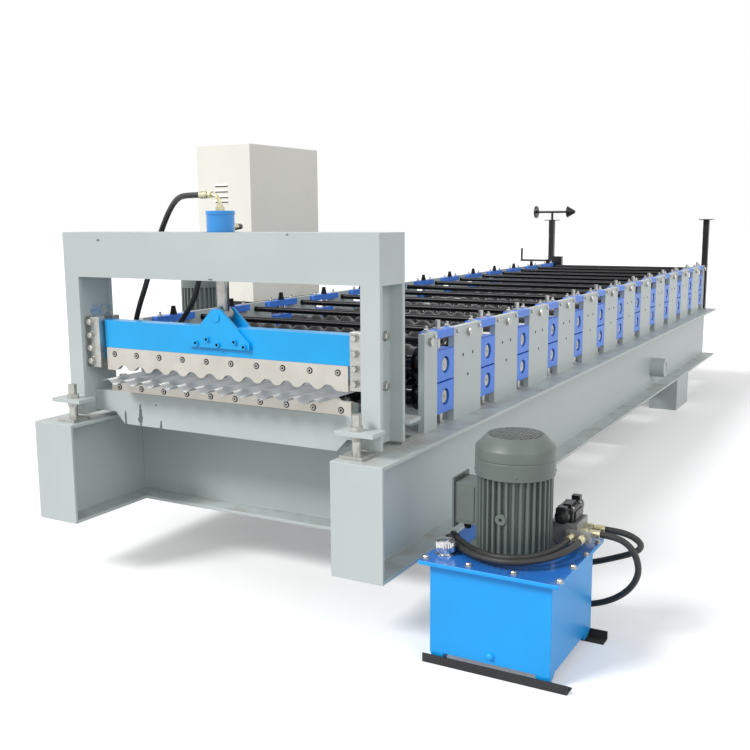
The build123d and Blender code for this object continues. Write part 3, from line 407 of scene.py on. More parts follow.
PRESS_ROUTE = [
    (-79, 80, 1121), (-124, 80, 1121), (-180, 100, 1118), (-232, 131, 1101), (-281, 160, 1072),
    (-322, 180, 1034), (-368, 196, 972), (-408, 203, 894), (-440, 206, 818), (-476, 207, 744),
    (-506, 210, 672), (-526, 220, 598), (-532, 246, 528), (-524, 290, 466), (-512, 348, 414),
    (-500, 408, 380), (-487, 458, 318), (-470, 486, 254), (-440, 494, 192), (-396, 488, 136),
    (-336, 468, 90), (-262, 440, 56), (-174, 412, 32), (-66, 396, 22), (76, 392, 23), (220, 392, 22),
    (334, 406, 28), (414, 446, 22), (480, 484, -8), (556, 508, -36), (650, 514, -58), (744, 498, -68),
    (836, 476, -72), (930, 450, -70), (1022, 424, -54), (1104, 404, -30), (1172, 390, -6),
    (1230, 378, 20), (1280, 360, 46), (1316, 328, 76), (1326, 292, 108), (1304, 267, 134),
    (1266, 265, 142), (1228, 265, 142)]
RETURN_ROUTE = [
    (-22, 190, 1018), (-30, 230, 1018), (-66, 260, 1019), (-118, 274, 1018), (-172, 270, 1006),
    (-208, 256, 966), (-220, 246, 906), (-226, 240, 836), (-252, 240, 764), (-296, 242, 708),
    (-346, 246, 656), (-396, 256, 606), (-438, 276, 554), (-466, 308, 500), (-474, 350, 448),
    (-468, 396, 402), (-456, 440, 352), (-438, 466, 290), (-408, 468, 226), (-364, 452, 168),
    (-304, 428, 118), (-232, 400, 76), (-150, 374, 44), (-50, 358, 26), (80, 355, 22), (215, 357, 22),
    (320, 376, 26), (410, 416, 33), (484, 456, 10), (544, 476, -36), (614, 476, -78), (700, 450, -108),
    (800, 424, -130), (900, 392, -142), (1000, 356, -142), (1092, 328, -134), (1180, 313, -116),
    (1248, 304, -84), (1300, 286, -36), (1330, 262, 22), (1330, 238, 76), (1312, 220, 120),
    (1274, 213, 142), (1228, 213, 142)]
FRONT_ROUTE = [
    (1192, 119, 142), (1192, 80, 142), (1182, 26, 140), (1154, -32, 136), (1106, -78, 132),
    (1042, -96, 129), (972, -78, 126), (922, -48, 124), (880, -8, 119), (846, 26, 119)]
BACK_ROUTE = [
    (1160, 119, 142), (1160, 80, 142), (1154, 30, 141), (1130, -22, 138), (1088, -60, 135),
    (1034, -73, 132), (982, -60, 129), (938, -30, 126), (908, -2, 122), (880, 26, 119), (846, 60, 119)]
for name, node, route, length in (("press_line", "press_hose", PRESS_ROUTE, 3.37),
                                  ("return_line", "return_hose", RETURN_ROUTE, 3.31),
                                  ("pump_line_front", "pump_hose_front", FRONT_ROUTE, 0.524),
                                  ("pump_line_back", "pump_hose_back", BACK_ROUTE, 0.491)):
    piece, start = hose(name, node, route)


# Shapes in millimetres, all of them closed; a way is a unit vector
def skin(shape, rings):
    """Joins rings of corners, and closes the first and the last."""
    for low, high in zip(rings, rings[1:]):
        for k in range(len(low)):
            m = (k + 1) % len(low)
            shape.faces.new((low[k], low[m], high[m], high[k]))
    shape.faces.new(list(reversed(rings[0])))
    shape.faces.new(rings[-1])


def ring(shape, centre, first, second, radius, steps, ripple=0, ripple_depth=0.0):
    """A ring of corners in the plane of two ways, smooth or rippled."""
    corners = []
    for k in range(steps):
        turn = 2 * pi * k / steps
        reach = radius + ripple_depth * cos(ripple * turn)
        corners.append(shape.verts.new(centre + (first * cos(turn) + second * sin(turn)) * reach))
    return corners


def square_to(way):
    """Two ways square to another."""
    first = way.cross(UP).normalized() if abs(way.z) < 0.9 else way.orthogonal().normalized()
    return first, way.cross(first)


def box(shape, low, high, at=(0, 0, 0)):
    """Adds a box between two corners, both measured from a place."""
    rings = []
    for z in (low[2], high[2]):
        outline = ((low[0], low[1]), (high[0], low[1]), (high[0], high[1]), (low[0], high[1]))
        rings.append([shape.verts.new(Vector(at) + Vector((x, y, z))) for x, y in outline])
    skin(shape, rings)


def turned(shape, start, way, profile, steps=32, ripple=0, ripple_depth=0.0):
    """Adds a turned form; its profile lists distances along the way and radii."""
    first, second = square_to(way)
    skin(shape, [ring(shape, start + way * along, first, second, radius, steps, ripple, ripple_depth)
                 for along, radius in profile])


def prism(shape, outline, push):
    """Adds a flat outline pushed along a vector."""
    skin(shape, [[shape.verts.new(point + shift) for point in outline] for shift in (push * 0, push)])


def toothed(shape, centre, way, tip, root, teeth, width, phase=0.0):
    """Adds a toothed wheel; tip and root are radii."""
    first, second = square_to(way)
    outline = []
    for k in range(teeth):
        for share, radius in ((-0.3, root), (-0.16, tip), (0.16, tip), (0.3, root)):
            turn = 2 * pi * (k + share + phase) / teeth
            outline.append(centre + (first * cos(turn) + second * sin(turn)) * radius)
    prism(shape, outline, way * width)


def pipe(shape, places, radius, steps=14):
    """Adds a round tube along places that lie in one upright plane."""
    rings = []
    for k, place in enumerate(places):
        way = (places[min(k + 1, len(places) - 1)] - places[max(k - 1, 0)]).normalized()
        rings.append(ring(shape, place, TO_ENTRY, way.cross(TO_ENTRY), radius, steps))
    skin(shape, rings)


# Finished pieces
def piece_of(mesh, name, material, slot=None, body="frame", eased=None, sharp=35, instead=None):
    """Links a mesh as a piece with its material, smooth faces and edges eased by so many millimetres.

    A piece that comes instead of a CAD node hides that node.
    """
    mesh.polygons.foreach_set("use_smooth", [True] * len(mesh.polygons))
    mesh.set_sharp_from_angle(angle=radians(sharp))
    if material:
        mesh.materials.clear()
        mesh.materials.append(material)
    piece = bpy.data.objects.new(name, mesh)
    bpy.context.scene.collection.objects.link(piece)
    if eased:
        bevel = piece.modifiers.new("eased_edges", "BEVEL")
        bevel.width = eased / 1000
        bevel.segments = 2
        bevel.limit_method = "ANGLE"
        bevel.angle_limit = radians(40)
        bevel.harden_normals = True
    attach(piece, body)
    if instead:
        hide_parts(instead)


def mesh_of(shape, name):
    """Turns a shape into a mesh and lets the shape go."""
    mesh = bpy.data.meshes.new(name)
    shape.to_mesh(mesh)
    shape.free()
    return mesh


def piece_from(shape, name, material, slot=None, **options):
    """Turns a shape in millimetres into a finished piece."""
    bmesh.ops.scale(shape, vec=(0.001, 0.001, 0.001), verts=shape.verts)
    bmesh.ops.recalc_face_normals(shape, faces=shape.faces)
    piece_of(mesh_of(shape, name), name, material, slot, **options)


def eased_copy(node, material, eased, body="frame", moved=None):
    """A merged copy of a CAD node with eased edges, in place of the node; moved may shift its corners."""
    shape = bmesh.new()
    shape.from_mesh(frame["nodes"][node].data)
    bmesh.ops.remove_doubles(shape, verts=shape.verts, dist=0.00001)
    bmesh.ops.dissolve_limit(shape, angle_limit=radians(1), verts=shape.verts, edges=shape.edges)
    if moved:
        for corner in shape.verts:
            corner.co += Vector(moved(corner.co * 1000)) / 1000
    name = node + "_eased"
    piece_of(mesh_of(shape, name), name, material, body=body, eased=eased, instead=node)


# Geometry Nodes trees for what repeats, in metres
def open_tree(name, sizes):
    """A geometry tree with a named number input for each size, and the sockets of its geometry and sizes."""
    tree = bpy.data.node_groups.new(name, "GeometryNodeTree")
    tree.interface.new_socket("Geometry", in_out="INPUT", socket_type="NodeSocketGeometry")
    for size, value in sizes.items():
        kind = "NodeSocketInt" if isinstance(value, int) else "NodeSocketFloat"
        tree.interface.new_socket(size, in_out="INPUT", socket_type=kind).default_value = value
    tree.interface.new_socket("Geometry", in_out="OUTPUT", socket_type="NodeSocketGeometry")
    return tree, tree.nodes.new("NodeGroupInput").outputs[:len(sizes) + 1]


def close_tree(tree, instances, material, shaded_wells=False):
    """Ends a tree in Realize Instances and Set Material; faces marked as wells may take the near-black finish
    as painted shade.
    """
    real = made(tree, "GeometryNodeRealizeInstances", {"Geometry": instances})
    painted = made(tree, "GeometryNodeSetMaterial", {"Geometry": real, "Material": material})
    # Painted shade: the socket wells take the near-black finish
    if shaded_wells:
        well = joined(tree, "GeometryNodeInputNamedAttribute", {"Name": "well"}, data_type="BOOLEAN")
        painted = made(tree, "GeometryNodeSetMaterial",
                       {"Geometry": painted, "Material": BLACK_AND_SHADE, "Selection": live(well.outputs, "Attribute")})
    joined(tree, "NodeGroupOutput", {"Geometry": painted})
    return tree


def grown(tree, name, seed_mesh, sizes, **options):
    """Runs a tree on a seed mesh and keeps the result as a plain piece."""
    seed = bpy.data.objects.new(name + "_seed", seed_mesh)
    bpy.context.scene.collection.objects.link(seed)
    modifier = seed.modifiers.new("grown", "NODES")
    modifier.node_group = tree
    for item in tree.interface.items_tree:
        if item.in_out == "INPUT" and item.name in sizes:
            modifier[item.identifier] = sizes[item.name]
    evaluated = seed.evaluated_get(bpy.context.evaluated_depsgraph_get())
    mesh = bpy.data.meshes.new_from_object(evaluated)
    bpy.data.objects.remove(seed)
    piece_of(mesh, name, None, **options)


def vector(tree, **axes):
    return made(tree, "ShaderNodeCombineXYZ", axes)


def drum(tree, sides, radius, depth):
    return made(tree, "GeometryNodeMeshCylinder", {"Vertices": sides, "Radius": radius, "Depth": depth})


def shifted(tree, geometry, turn=(0, 0, 0), **axes):
    """Turns geometry, and moves it along the axes given."""
    return made(tree, "GeometryNodeTransform",
                {"Geometry": geometry, "Rotation": turn, "Translation": vector(tree, **axes)})


def together(tree, parts):
    """Joins geometry."""
    node = joined(tree, "GeometryNodeJoinGeometry")
    for part in parts:
        tree.links.new(part, node.inputs[0])
    return node.outputs[0]


def on_points(tree, points, head, turn, **chosen):
    """Sets a copy on each point, or on the chosen ones."""
    return made(tree, "GeometryNodeInstanceOnPoints",
                {"Points": points, "Instance": head, "Rotation": turn, **chosen})


def at_facing(tree, points, head):
    """Sets a head on each point, turned to the point's own direction."""
    facing = made(tree, "GeometryNodeInputNamedAttribute", {"Name": "facing"}, data_type="FLOAT_VECTOR")
    turn = made(tree, "FunctionNodeAlignRotationToVector", {"Vector": facing}, axis="Z")
    return on_points(tree, points, head, turn)


def hex_tree(material):
    """Hexagon heads with a chamfered top on a round washer."""
    tree, (points, across, height, washer, seat) = open_tree(
        "hex_heads_" + material.name,
        {"Across Corners": 0.02, "Head Height": 0.008, "Washer Radius": 0.014, "Washer Height": 0.002})
    radius = times(tree, across, 0.5)
    flank = times(tree, height, 0.75)
    top = made(tree, "GeometryNodeMeshCone",
               {"Vertices": 6, "Radius Bottom": radius, "Radius Top": times(tree, radius, 0.84),
                "Depth": times(tree, height, 0.25)})
    head = [shifted(tree, part, Z=level) for part, level in (
        (drum(tree, 18, washer, seat), times(tree, seat, 0.5)),
        (drum(tree, 6, radius, flank), plus(tree, seat, times(tree, flank, 0.5))),
        (top, plus(tree, seat, flank)))]
    return close_tree(tree, at_facing(tree, points, together(tree, head)), material)


def socket_tree(material):
    """Round heads with a hollow socket, whose inside is painted shade in the near-black finish."""
    tree, (points, radius, height, share) = open_tree(
        "socket_heads_" + material.name, {"Head Radius": 0.01, "Head Height": 0.005, "Socket Share": 0.55})
    body = shifted(tree, drum(tree, 18, radius, height), Z=times(tree, height, 0.5))
    top = ramp(tree, axes_of(tree, made(tree, "GeometryNodeInputNormal"))["Z"], 0.8, 0.9)
    rim = joined(tree, "GeometryNodeExtrudeMesh",
                 {"Mesh": body, "Selection": top, "Offset Scale": 0.0}).outputs
    inner = made(tree, "GeometryNodeScaleElements",
                 {"Geometry": rim["Mesh"], "Selection": rim["Top"], "Scale": share})
    well = joined(tree, "GeometryNodeExtrudeMesh",
                  {"Mesh": inner, "Selection": rim["Top"], "Offset Scale": times(tree, height, -0.8)}).outputs
    inside = made(tree, "FunctionNodeBooleanMath", {0: well["Top"], 1: well["Side"]}, operation="OR")
    marked = made(tree, "GeometryNodeStoreNamedAttribute",
                  {"Geometry": well["Mesh"], "Name": "well", "Value": inside},
                  data_type="BOOLEAN", domain="FACE")
    return close_tree(tree, at_facing(tree, points, marked), material, shaded_wells=True)


def chain_tree(material):
    """Roller chain: a link on each point of a closed path, wide and narrow plates in turn."""
    tree, (path, count, length, height, outer_half, inner_half, radius) = open_tree(
        "chain_links", {"Link Count": 370, "Plate Length": 0.036, "Plate Height": 0.011,
                        "Outer Half Width": 0.0085, "Inner Half Width": 0.0058, "Roller Radius": 0.0055})
    curve = made(tree, "GeometryNodeMeshToCurve", {"Mesh": path})
    even = made(tree, "GeometryNodeResampleCurve", {"Curve": curve, "Count": count})
    spots = joined(tree, "GeometryNodeCurveToPoints", {"Curve": even}, mode="EVALUATED").outputs
    turn = made(tree, "FunctionNodeAlignRotationToVector", {"Vector": spots["Tangent"]}, axis="Y",
                pivot_axis="X")
    wide = maths(tree, "MODULO", made(tree, "GeometryNodeInputIndex"), 2)
    plate = made(tree, "GeometryNodeMeshCube", {"Size": vector(tree, X=0.0018, Y=length, Z=height)})
    links = []
    for chosen, half in ((wide, outer_half), (minus(tree, 1, wide), inner_half)):
        parts = [shifted(tree, plate, X=times(tree, half, side)) for side in SIDES]
        roller = drum(tree, 8, radius, times(tree, half, 2))
        parts.append(shifted(tree, roller, (0, pi / 2, 0), Y=times(tree, length, 0.35)))
        links.append(on_points(tree, spots["Points"], together(tree, parts), turn, Selection=chosen))
    return close_tree(tree, together(tree, links), material)


def wave_tree(material):
    """The corrugated face of a roll, from its rule: a ring of points whose radius follows the wave."""
    tree, (_, width, mean, depth, pitch, reach, phase, axis_y, axis_z, across, around) = open_tree(
        "wave_face", {"Face Width": 1.0, "Mean Radius": 0.0535, "Wave Depth": 0.018, "Wave Pitch": 0.076,
                      "Waved Half Width": 0.475, "Phase": 1.0, "Axis Y": 0.0, "Axis Z": 0.0, "Across": 159,
                      "Around": 29})
    grid = made(tree, "GeometryNodeMeshGrid",
                {"Size X": 1.0, "Size Y": 1.0, "Vertices X": across, "Vertices Y": around})
    spot = axes_of(tree, made(tree, "GeometryNodeInputPosition"))
    x = times(tree, spot["X"], width)
    turn = times(tree, spot["Y"], 2 * pi)
    swing = maths(tree, "COSINE", maths(tree, "DIVIDE", times(tree, x, 2 * pi), pitch))
    waved = maths(tree, "LESS_THAN", maths(tree, "ABSOLUTE", x), reach)
    swing = times(tree, times(tree, swing, waved), phase)
    radius = plus(tree, mean, times(tree, swing, times(tree, depth, 0.5)))
    y = plus(tree, axis_y, times(tree, radius, maths(tree, "COSINE", turn)))
    z = plus(tree, axis_z, times(tree, radius, maths(tree, "SINE", turn)))
    moved = made(tree, "GeometryNodeSetPosition", {"Geometry": grid, "Position": vector(tree, X=x, Y=y, Z=z)})
    sealed = made(tree, "GeometryNodeMergeByDistance", {"Geometry": moved, "Distance": 0.00001})
    return close_tree(tree, sealed, material)


def points_mesh(name, places, facing):
    """Loose points with the direction that a head on each of them faces."""
    mesh = bpy.data.meshes.new(name)
    mesh.from_pydata([tuple(place / 1000) for place in places], [], [])
    ways = mesh.attributes.new("facing", "FLOAT_VECTOR", "POINT")
    for item, way in zip(ways.data, facing if isinstance(facing, list) else [facing] * len(places)):
        item.vector = way
    return mesh


HEAD_TREES = {}


def heads(make_tree, name, places, facing, sizes, material=ZINC, slot="zinc_steel", body="frame"):
    """Screw heads at places, with one tree for each kind and material; their sizes are in millimetres."""
    kind = make_tree, material.name
    if kind not in HEAD_TREES:
        HEAD_TREES[kind] = make_tree(material)
    inputs = {size: value / 1000 for size, value in sizes.items()}
    grown(HEAD_TREES[kind], name, points_mesh(name, places, facing), inputs, slot=slot, body=body)


def hex_heads(name, places, facing, across, height, washer=None):
    """Hexagon screws; without a washer a thin seat stays under the head."""
    sizes = {"Across Corners": across, "Head Height": height, "Washer Radius": washer or across * 0.55,
             "Washer Height": height * 0.25}
    heads(hex_tree, name, places, facing, sizes)


def socket_heads(name, places, facing, radius, height, **options):
    """Socket screws."""
    heads(socket_tree, name, places, facing, {"Head Radius": radius, "Head Height": height}, **options)


# CAD nodes with eased edges or a finish of their own; a shift is in millimetres
def lowered_guide(place):
    """Guide plates reach lower and end lower than their solids."""
    return 0, 0, -48 if place.z < 850 else -28


def thin_lid(place):
    """The lid is half as thick as its solid."""
    return 0, 0, 12 if abs(place.z - LID_TOP + 24) < 1 else 0


def wide_bracket(place):
    """The bracket's right tip reaches a little further."""
    return 10 if place.x > 100 else 0, 0, 0


for node, material, eased in (("cross_beams", FRAME, 2), ("support_legs", FRAME, 2),
                              ("side_plates", FRAME, 1), ("lower_bearing_blocks", BLOCKS, 1.2),
                              ("upper_bearing_blocks", BLOCKS, 1.2), ("station_caps", BLOCKS, 1.2),
                              ("control_cabinet", CREAM, 3),
                              ("cabinet_stand", STAND, 3), ("pack_skids", SKIDS, 0.6),
                              ("gantry_frame", gantry_paint(), 2), ("lower_beam", scratched_paint(), 1.5)):
    eased_copy(node, material, eased)
eased_copy("guide_channels", ZINC, 1.5, moved=lowered_guide)
eased_copy("pack_tank", TANK, 2, moved=thin_lid)
eased_copy("blade_ram", BRIGHT, 1.5, "ram")
eased_copy("rod_bracket", BRIGHT, 1.5, "ram", wide_bracket)
for node, material in (("bearing_screws", screws_finish()), ("tie_rods", rods_finish()),
                       ("gantry_jacks", ZINC), ("upper_blade", BLADE), ("lower_blade", BLADE),
                       ("film_stand", BLACK_STEEL)):
    for place in frame["nodes"][node].material_slots:
        place.material = material


# Rails and sheet
def make_rails():
    """H beams with a plate at the exit end, open at the entry end, and one round stub on each web."""
    low, high = corners_of("rails")
    half, web, flange, end_plate = 87.5, 4, 12, 10
    tall = RAIL_TOP - RAIL_UNDER
    stub_y, stub_z = high.y - 1650, low.z + 128
    outline = [(-half, 0), (half, 0), (half, flange), (web, flange), (web, tall - flange),
               (half, tall - flange), (half, tall), (-half, tall), (-half, tall - flange),
               (-web, tall - flange), (-web, flange), (-half, flange)]
    shape = bmesh.new()
    for side in SIDES:
        centre = side * RAIL_CENTRE
        prism(shape, [Vector((centre + x, low.y + end_plate, low.z + z)) for x, z in outline],
              TO_ENTRY * (high.y - low.y - end_plate))
        box(shape, (centre - half, low.y, low.z), (centre + half, low.y + end_plate, high.z))
        turned(shape, Vector((centre + side * web, stub_y, stub_z)), TO_RIGHT * side,
               [(0, 57), (80, 57), (83.5, 54.5), (83.5, 36), (77.5, 34)], 48)
    piece_from(shape, "main_rails", FRAME, eased=2, instead="rails")


def make_sheet():
    """Corrugated sheet, as a band with thickness that follows the wave."""
    low, high = corners_of("formed_sheet")
    half_waves, per_half_wave, swing, skin_half = 23, 8, 9, 0.4
    count = half_waves * per_half_wave
    reach = half_waves * WAVE_PITCH / 4
    shape = bmesh.new()
    rings = []
    for k in range(count + 1):
        x = -reach + 2 * reach * k / count
        level = PASS_LINE - swing * cos(2 * pi * x / WAVE_PITCH)
        rings.append([shape.verts.new((x, y, level + half)) for y, half in
                      ((low.y, -skin_half), (high.y, -skin_half), (high.y, skin_half), (low.y, skin_half))])
    skin(shape, rings)
    piece_from(shape, "corrugated_sheet", SHEET, instead="formed_sheet")


make_rails()
make_sheet()


# Shear cylinder and its hose fittings
def hose_end(shape, start, way, length=48):
    """Swivel nut, neck and crimped ferrule, up to the place where the hose goes in."""
    nut = length * 0.27
    turned(shape, start, way, [(0, 12.5), (nut, 12.5), (nut + 1, 10.5)], 6)
    profile = [(nut, 8), (nut + 4, 8), (nut + 4.2, 11.8)]
    for k in range(3):
        crimp = nut + 8 + 7 * k
        profile += [(crimp, 11.8), (crimp + 1, 10.6), (crimp + 3, 10.6), (crimp + 4, 11.8)]
    turned(shape, start, way, profile + [(length - 1, 11.8), (length, 10.8)], 24)


def make_cylinder():
    """Slim blue barrel with a cap ring, its bent top tube and its side port; the rod runs up inside it."""
    foot = behind(0, CYLINDER_Y, 862)
    top = foot + UP * 208
    side_port = foot + UP * 156
    bend, stem, steps, port_reach = 31, 20, 10, 44
    shape = bmesh.new()
    turned(shape, foot, UP, [(60, 21), (0, 21), (0, 44), (1.5, 45.5), (195, 45.5), (196, 47.5), (206, 47.5),
                             (208, 46)], 64)
    piece_from(shape, "cylinder_barrel", CYLINDER, instead="shear_cylinder")
    shape = bmesh.new()
    turned(shape, top, UP, [(0, 14.5), (13, 14.5), (14, 12.5)], 6)
    turned(shape, top, UP, [(13, 9.5), (stem, 9.5)], 20)
    turns = [pi / 2 * k / steps for k in range(steps + 1)]
    pipe(shape, [top + Vector((bend * (cos(turn) - 1), 0, stem + bend * sin(turn))) for turn in turns], 6)
    hose_end(shape, top + Vector((-bend, 0, stem + bend)), TO_LEFT)
    away = Vector((-22, 110, 0)).normalized()
    hose_end(shape, side_port + away * port_reach, away, 68)
    piece_from(shape, "cylinder_fittings", BRASS, slot_of("shear_cylinder"))
    shape = bmesh.new()
    turned(shape, foot - UP * 156, UP, [(0, 18), (4, 20.5), (205, 20.5)], 48)
    eye = behind(0, CYLINDER_Y - 26, 730)
    turned(shape, eye, TO_ENTRY, [(0, 25.5), (1, 26.5), (51, 26.5), (52, 25.5)], 48)
    piece_from(shape, "press_rod", ROD, body="ram", instead="cylinder_rod")


make_cylinder()


# Drive beside the left rail
def make_drive():
    """Reducer with bearing covers and an upright finned motor, on a shelf with two gussets."""
    x, y, shelf = corners_of("drive_unit")[0].x + 94, station_y(1), RAIL_TOP
    half_width, half_depth, case_height, thick = 75, 95, 260, 16
    rail_side, gusset_foot = -693.5, 287.5
    cover_height, flange, screw_circle = 120, 14, 84
    shape = bmesh.new()
    box(shape, (x - half_width, y - half_depth, shelf), (x + half_width, y + half_depth, shelf + case_height))
    for side in SIDES:
        turned(shape, Vector((x, y + side * (half_depth - 1), shelf + cover_height)), TO_ENTRY * side,
               [(0, 55), (0.8, 55), (0.9, 30), (1, 30)], 40)
    base = Vector((x, y, shelf + case_height))
    turned(shape, base, UP, [(0, 94), (flange - 2, 94), (flange, 92), (flange, 78)], 56)
    toothed(shape, base + UP * 13, UP, tip=80, root=71, teeth=26, width=130)
    turned(shape, base + UP * 142, UP, [(0, 72), (0, 79), (1, 80), (50, 79.5), (60, 75), (77, 56), (78, 54)],
           56)
    piece_from(shape, "drive_body", MOTOR, eased=1.5, instead="drive_unit")
    shape = bmesh.new()
    box(shape, (x - half_width, y - half_depth, shelf - thick), (rail_side, y + half_depth, shelf))
    for start in (y - half_depth, y + half_depth - thick):
        gusset = ((rail_side, shelf - thick), (x - half_width, shelf - thick), (rail_side, gusset_foot))
        prism(shape, [Vector((across, start, height)) for across, height in gusset], TO_ENTRY * thick)
    piece_from(shape, "drive_shelf", FRAME, "frame_paint", eased=1)
    turns = [pi / 4 + k * pi / 2 for k in range(4)]
    hex_heads("drive_screws", [base + Vector((screw_circle * cos(turn), screw_circle * sin(turn), flange))
                               for turn in turns], UP, 14, 6)


make_drive()


# Power pack: motor, filler and valve
def make_motor():
    """Upright finned motor with its cowl, perforated top, terminal box and boss."""
    slot = slot_of("pack_motor")
    base = Vector((PACK_X, PACK_Y, LID_TOP))
    boss = base + TO_EXIT * 94 + UP * 117
    shape = bmesh.new()
    turned(shape, base, UP, [(0, 124), (10, 124), (12, 122), (12, 105)], 64)
    toothed(shape, base + UP * 11, UP, tip=108, root=96, teeth=34, width=216)
    turned(shape, base + UP * 226, UP, [(0, 98), (0, 113), (1, 114), (46, 114), (47, 112.6), (49.5, 112.6),
                                        (50.5, 113.8), (77, 113.5), (82, 111), (110, 84), (113, 80.5)], 72)
    for turn in (0.25, 1.1, 2.4, 3.6, 5.1):
        way = Vector((cos(turn), sin(turn), 0))
        turned(shape, base + way * 112 + UP * 240, way, [(0, 4), (3, 4), (3.4, 3)], 12)
    turned(shape, boss, TO_EXIT, [(0, 16), (16.5, 16), (17.5, 15), (17.5, 5), (10, 5)], 28)
    for low, high in (((-164, -48, 69), (-95, 48, 190)), ((-156, -50.5, 78), (-104, -47.5, 181)),
                      ((-170, -55, 55), (-164, 55, 203))):
        box(shape, low, high, base)
    piece_from(shape, "pack_motor_body", MOTOR, eased=1.2, instead="pack_motor")
    shape = bmesh.new()
    turned(shape, base + UP * 338.5, UP, [(0, 79), (1.2, 79), (1.6, 78)], 64)
    piece_from(shape, "cowl_grille", GRILLE, slot)
    shape = bmesh.new()
    # Painted shade: a near-black disc at the bottom of the boss's bore; then the real black cable gland under
    # the terminal box
    turned(shape, boss + TO_EXIT * 10.2, TO_EXIT, [(0, 4.5), (0.5, 4.5)], 16)
    turned(shape, base + Vector((-135, -20, 69)), -UP, [(0, 11), (12, 11), (20, 8.5)], 20)
    piece_from(shape, "motor_gland_and_bore_shade", BLACK_AND_SHADE, slot)


def make_filler():
    """Ribbed chrome breather cap on its flange."""
    start = Vector((PACK_X - 156, PACK_Y - 128, LID_TOP))
    shape = bmesh.new()
    turned(shape, start, UP, [(0, 29), (3, 29), (4, 27), (4, 22), (11, 22)], 48)
    turned(shape, start, UP, [(11, 26.5), (13, 27.5), (32, 27.5), (38, 26)], 96, ripple=24, ripple_depth=1.2)
    turned(shape, start, UP, [(38, 26.2), (41.5, 25.5), (43, 22)], 48)
    piece_from(shape, "breather_cap", CHROME, instead="filler_cap")


def make_valve():
    """Grey manifold with a black valve, two solenoids, their plugs, and the hose ports."""
    slot = slot_of("pack_valve")
    centre = Vector((PACK_X + 112, PACK_Y + 157, LID_TOP))
    port_height, port_nut = 37, 13
    shape = bmesh.new()
    for low, high in (((-40, -52, 0), (40, 52, 66)), ((13, -78, 22), (85, -59, 52)),
                      ((18, -60, 26), (38, -51, 48)), ((-30, -34, 66), (30, 34, 96)),
                      ((-26, -52, 69), (26, 52, 105)), ((-12, -26, 105), (12, 26, 114))):
        box(shape, low, high, centre)
    for side in SIDES:
        way = TO_ENTRY * side
        turned(shape, centre + way * 51 + UP * 88, way, [(0, 20), (4, 21), (26, 21), (27, 17.5), (30, 17.5),
                                                         (31, 11), (38, 10)], 28)
        near, far = sorted((side * 56, side * 78))
        box(shape, (-13, near, 100), (13, far, 118), centre)
    piece_from(shape, "valve_block", VALVE, eased=1.2, instead="pack_valve")
    shape = bmesh.new()
    for x, y, way in ((40, -26, TO_RIGHT), (40, 26, TO_RIGHT), (33, -59, TO_EXIT), (65, -59, TO_EXIT)):
        start = centre + Vector((x, y, port_height))
        turned(shape, start, way, [(0, 12.5), (port_nut, 12.5)], 6)
        hose_end(shape, start + way * port_nut, way)
    piece_from(shape, "hose_ends", BRASS, slot)
    shape = bmesh.new()
    outward = (TO_RIGHT + TO_EXIT).normalized()
    for y in (-38, -4):
        root = Vector((PACK_X - 187, PACK_Y + y, LID_TOP))
        turned(shape, root, UP, [(0, 12.5), (14, 12.5)], 6)
        turned(shape, root + UP * 3, UP, [(0, 10.5), (18, 10.5), (22, 6)], 20)
        turned(shape, root + UP * 14, outward, [(0, 11.5), (25.5, 11.5)], 20)
    piece_from(shape, "return_elbows", BLACK_STEEL, slot)
    places = [centre + Vector((x, y, 105)) for x in (-20, 20) for y in (-34, 34)]
    socket_heads("valve_screws", places, UP, 4.5, 5)


make_motor()
make_filler()
make_valve()


# Rolls with their collars, journals, gears and sprockets
WAVES = wave_tree(ROLLS)
# How far along the axis from the machine's middle a roll's parts begin
FACE_END, GEAR, HUB, SPROCKET, INPUT_DISC, END_PLATE = 498, 615, 638, 647, 659, 599
COLLAR = [(0, 53.4), (2, 53.4), (2.5, 52), (2.6, 36), (54, 36), (55, 35), (55.1, 27.9)]
JOURNALS = {-1: [(139, 27.9), (139.5, 27)], 1: [(98.5, 27.9), (99, 26.5), (99.1, 8), (95, 6), (94.9, 1)]}


def make_roll(level, index):
    """One roll: the waved face from its rule, and its turned ends."""
    name = f"{level}_roller_{index + 1:02d}"
    is_lower = level == "lower"
    axis = Vector((0, station_y(index), LOWER_AXIS if is_lower else UPPER_AXIS))
    waves = max(1, min(12, 13 - index))
    grown(WAVES, name + "_face", points_mesh(name, [axis], UP),
          {"Phase": -1.0 if is_lower else 1.0, "Waved Half Width": (2 * waves + 1) * WAVE_PITCH / 4 / 1000,
           "Axis Y": axis.y / 1000, "Axis Z": axis.z / 1000}, body=name, slot="black_roller", sharp=60)
    shape = bmesh.new()
    for side in SIDES:
        way = TO_RIGHT * side
        turned(shape, axis + way * FACE_END, way, COLLAR + JOURNALS[side])
    toothed(shape, axis + TO_LEFT * GEAR, TO_LEFT, tip=54.5, root=47, teeth=22, width=24,
            phase=0 if is_lower else 0.5)
    turned(shape, axis + TO_LEFT * HUB, TO_LEFT, [(0, 34), (4, 34), (4.5, 33)])
    if is_lower:
        toothed(shape, axis + TO_LEFT * SPROCKET, TO_LEFT, tip=66.5, root=60, teeth=18, width=12)
        turned(shape, axis + TO_LEFT * HUB, TO_LEFT, [(0, 36), (21.5, 36), (22, 35)])
        if index == 1:
            turned(shape, axis + TO_LEFT * INPUT_DISC, TO_LEFT, [(0, 34), (7.7, 34)])
    piece_from(shape, name + "_ends", BLACK_STEEL, body=name, instead=name)
    shape = bmesh.new()
    profile = [(0, 22.5), (1.2, 22.5), (1.6, 21.5), (1.6, 7), (0.6, 5)]
    turned(shape, axis + TO_RIGHT * END_PLATE, TO_RIGHT, profile, 28)
    piece_from(shape, name + "_face_plate", ROD, "black_roller", body=name)


for index in range(STATIONS):
    for level in ("lower", "upper"):
        make_roll(level, index)


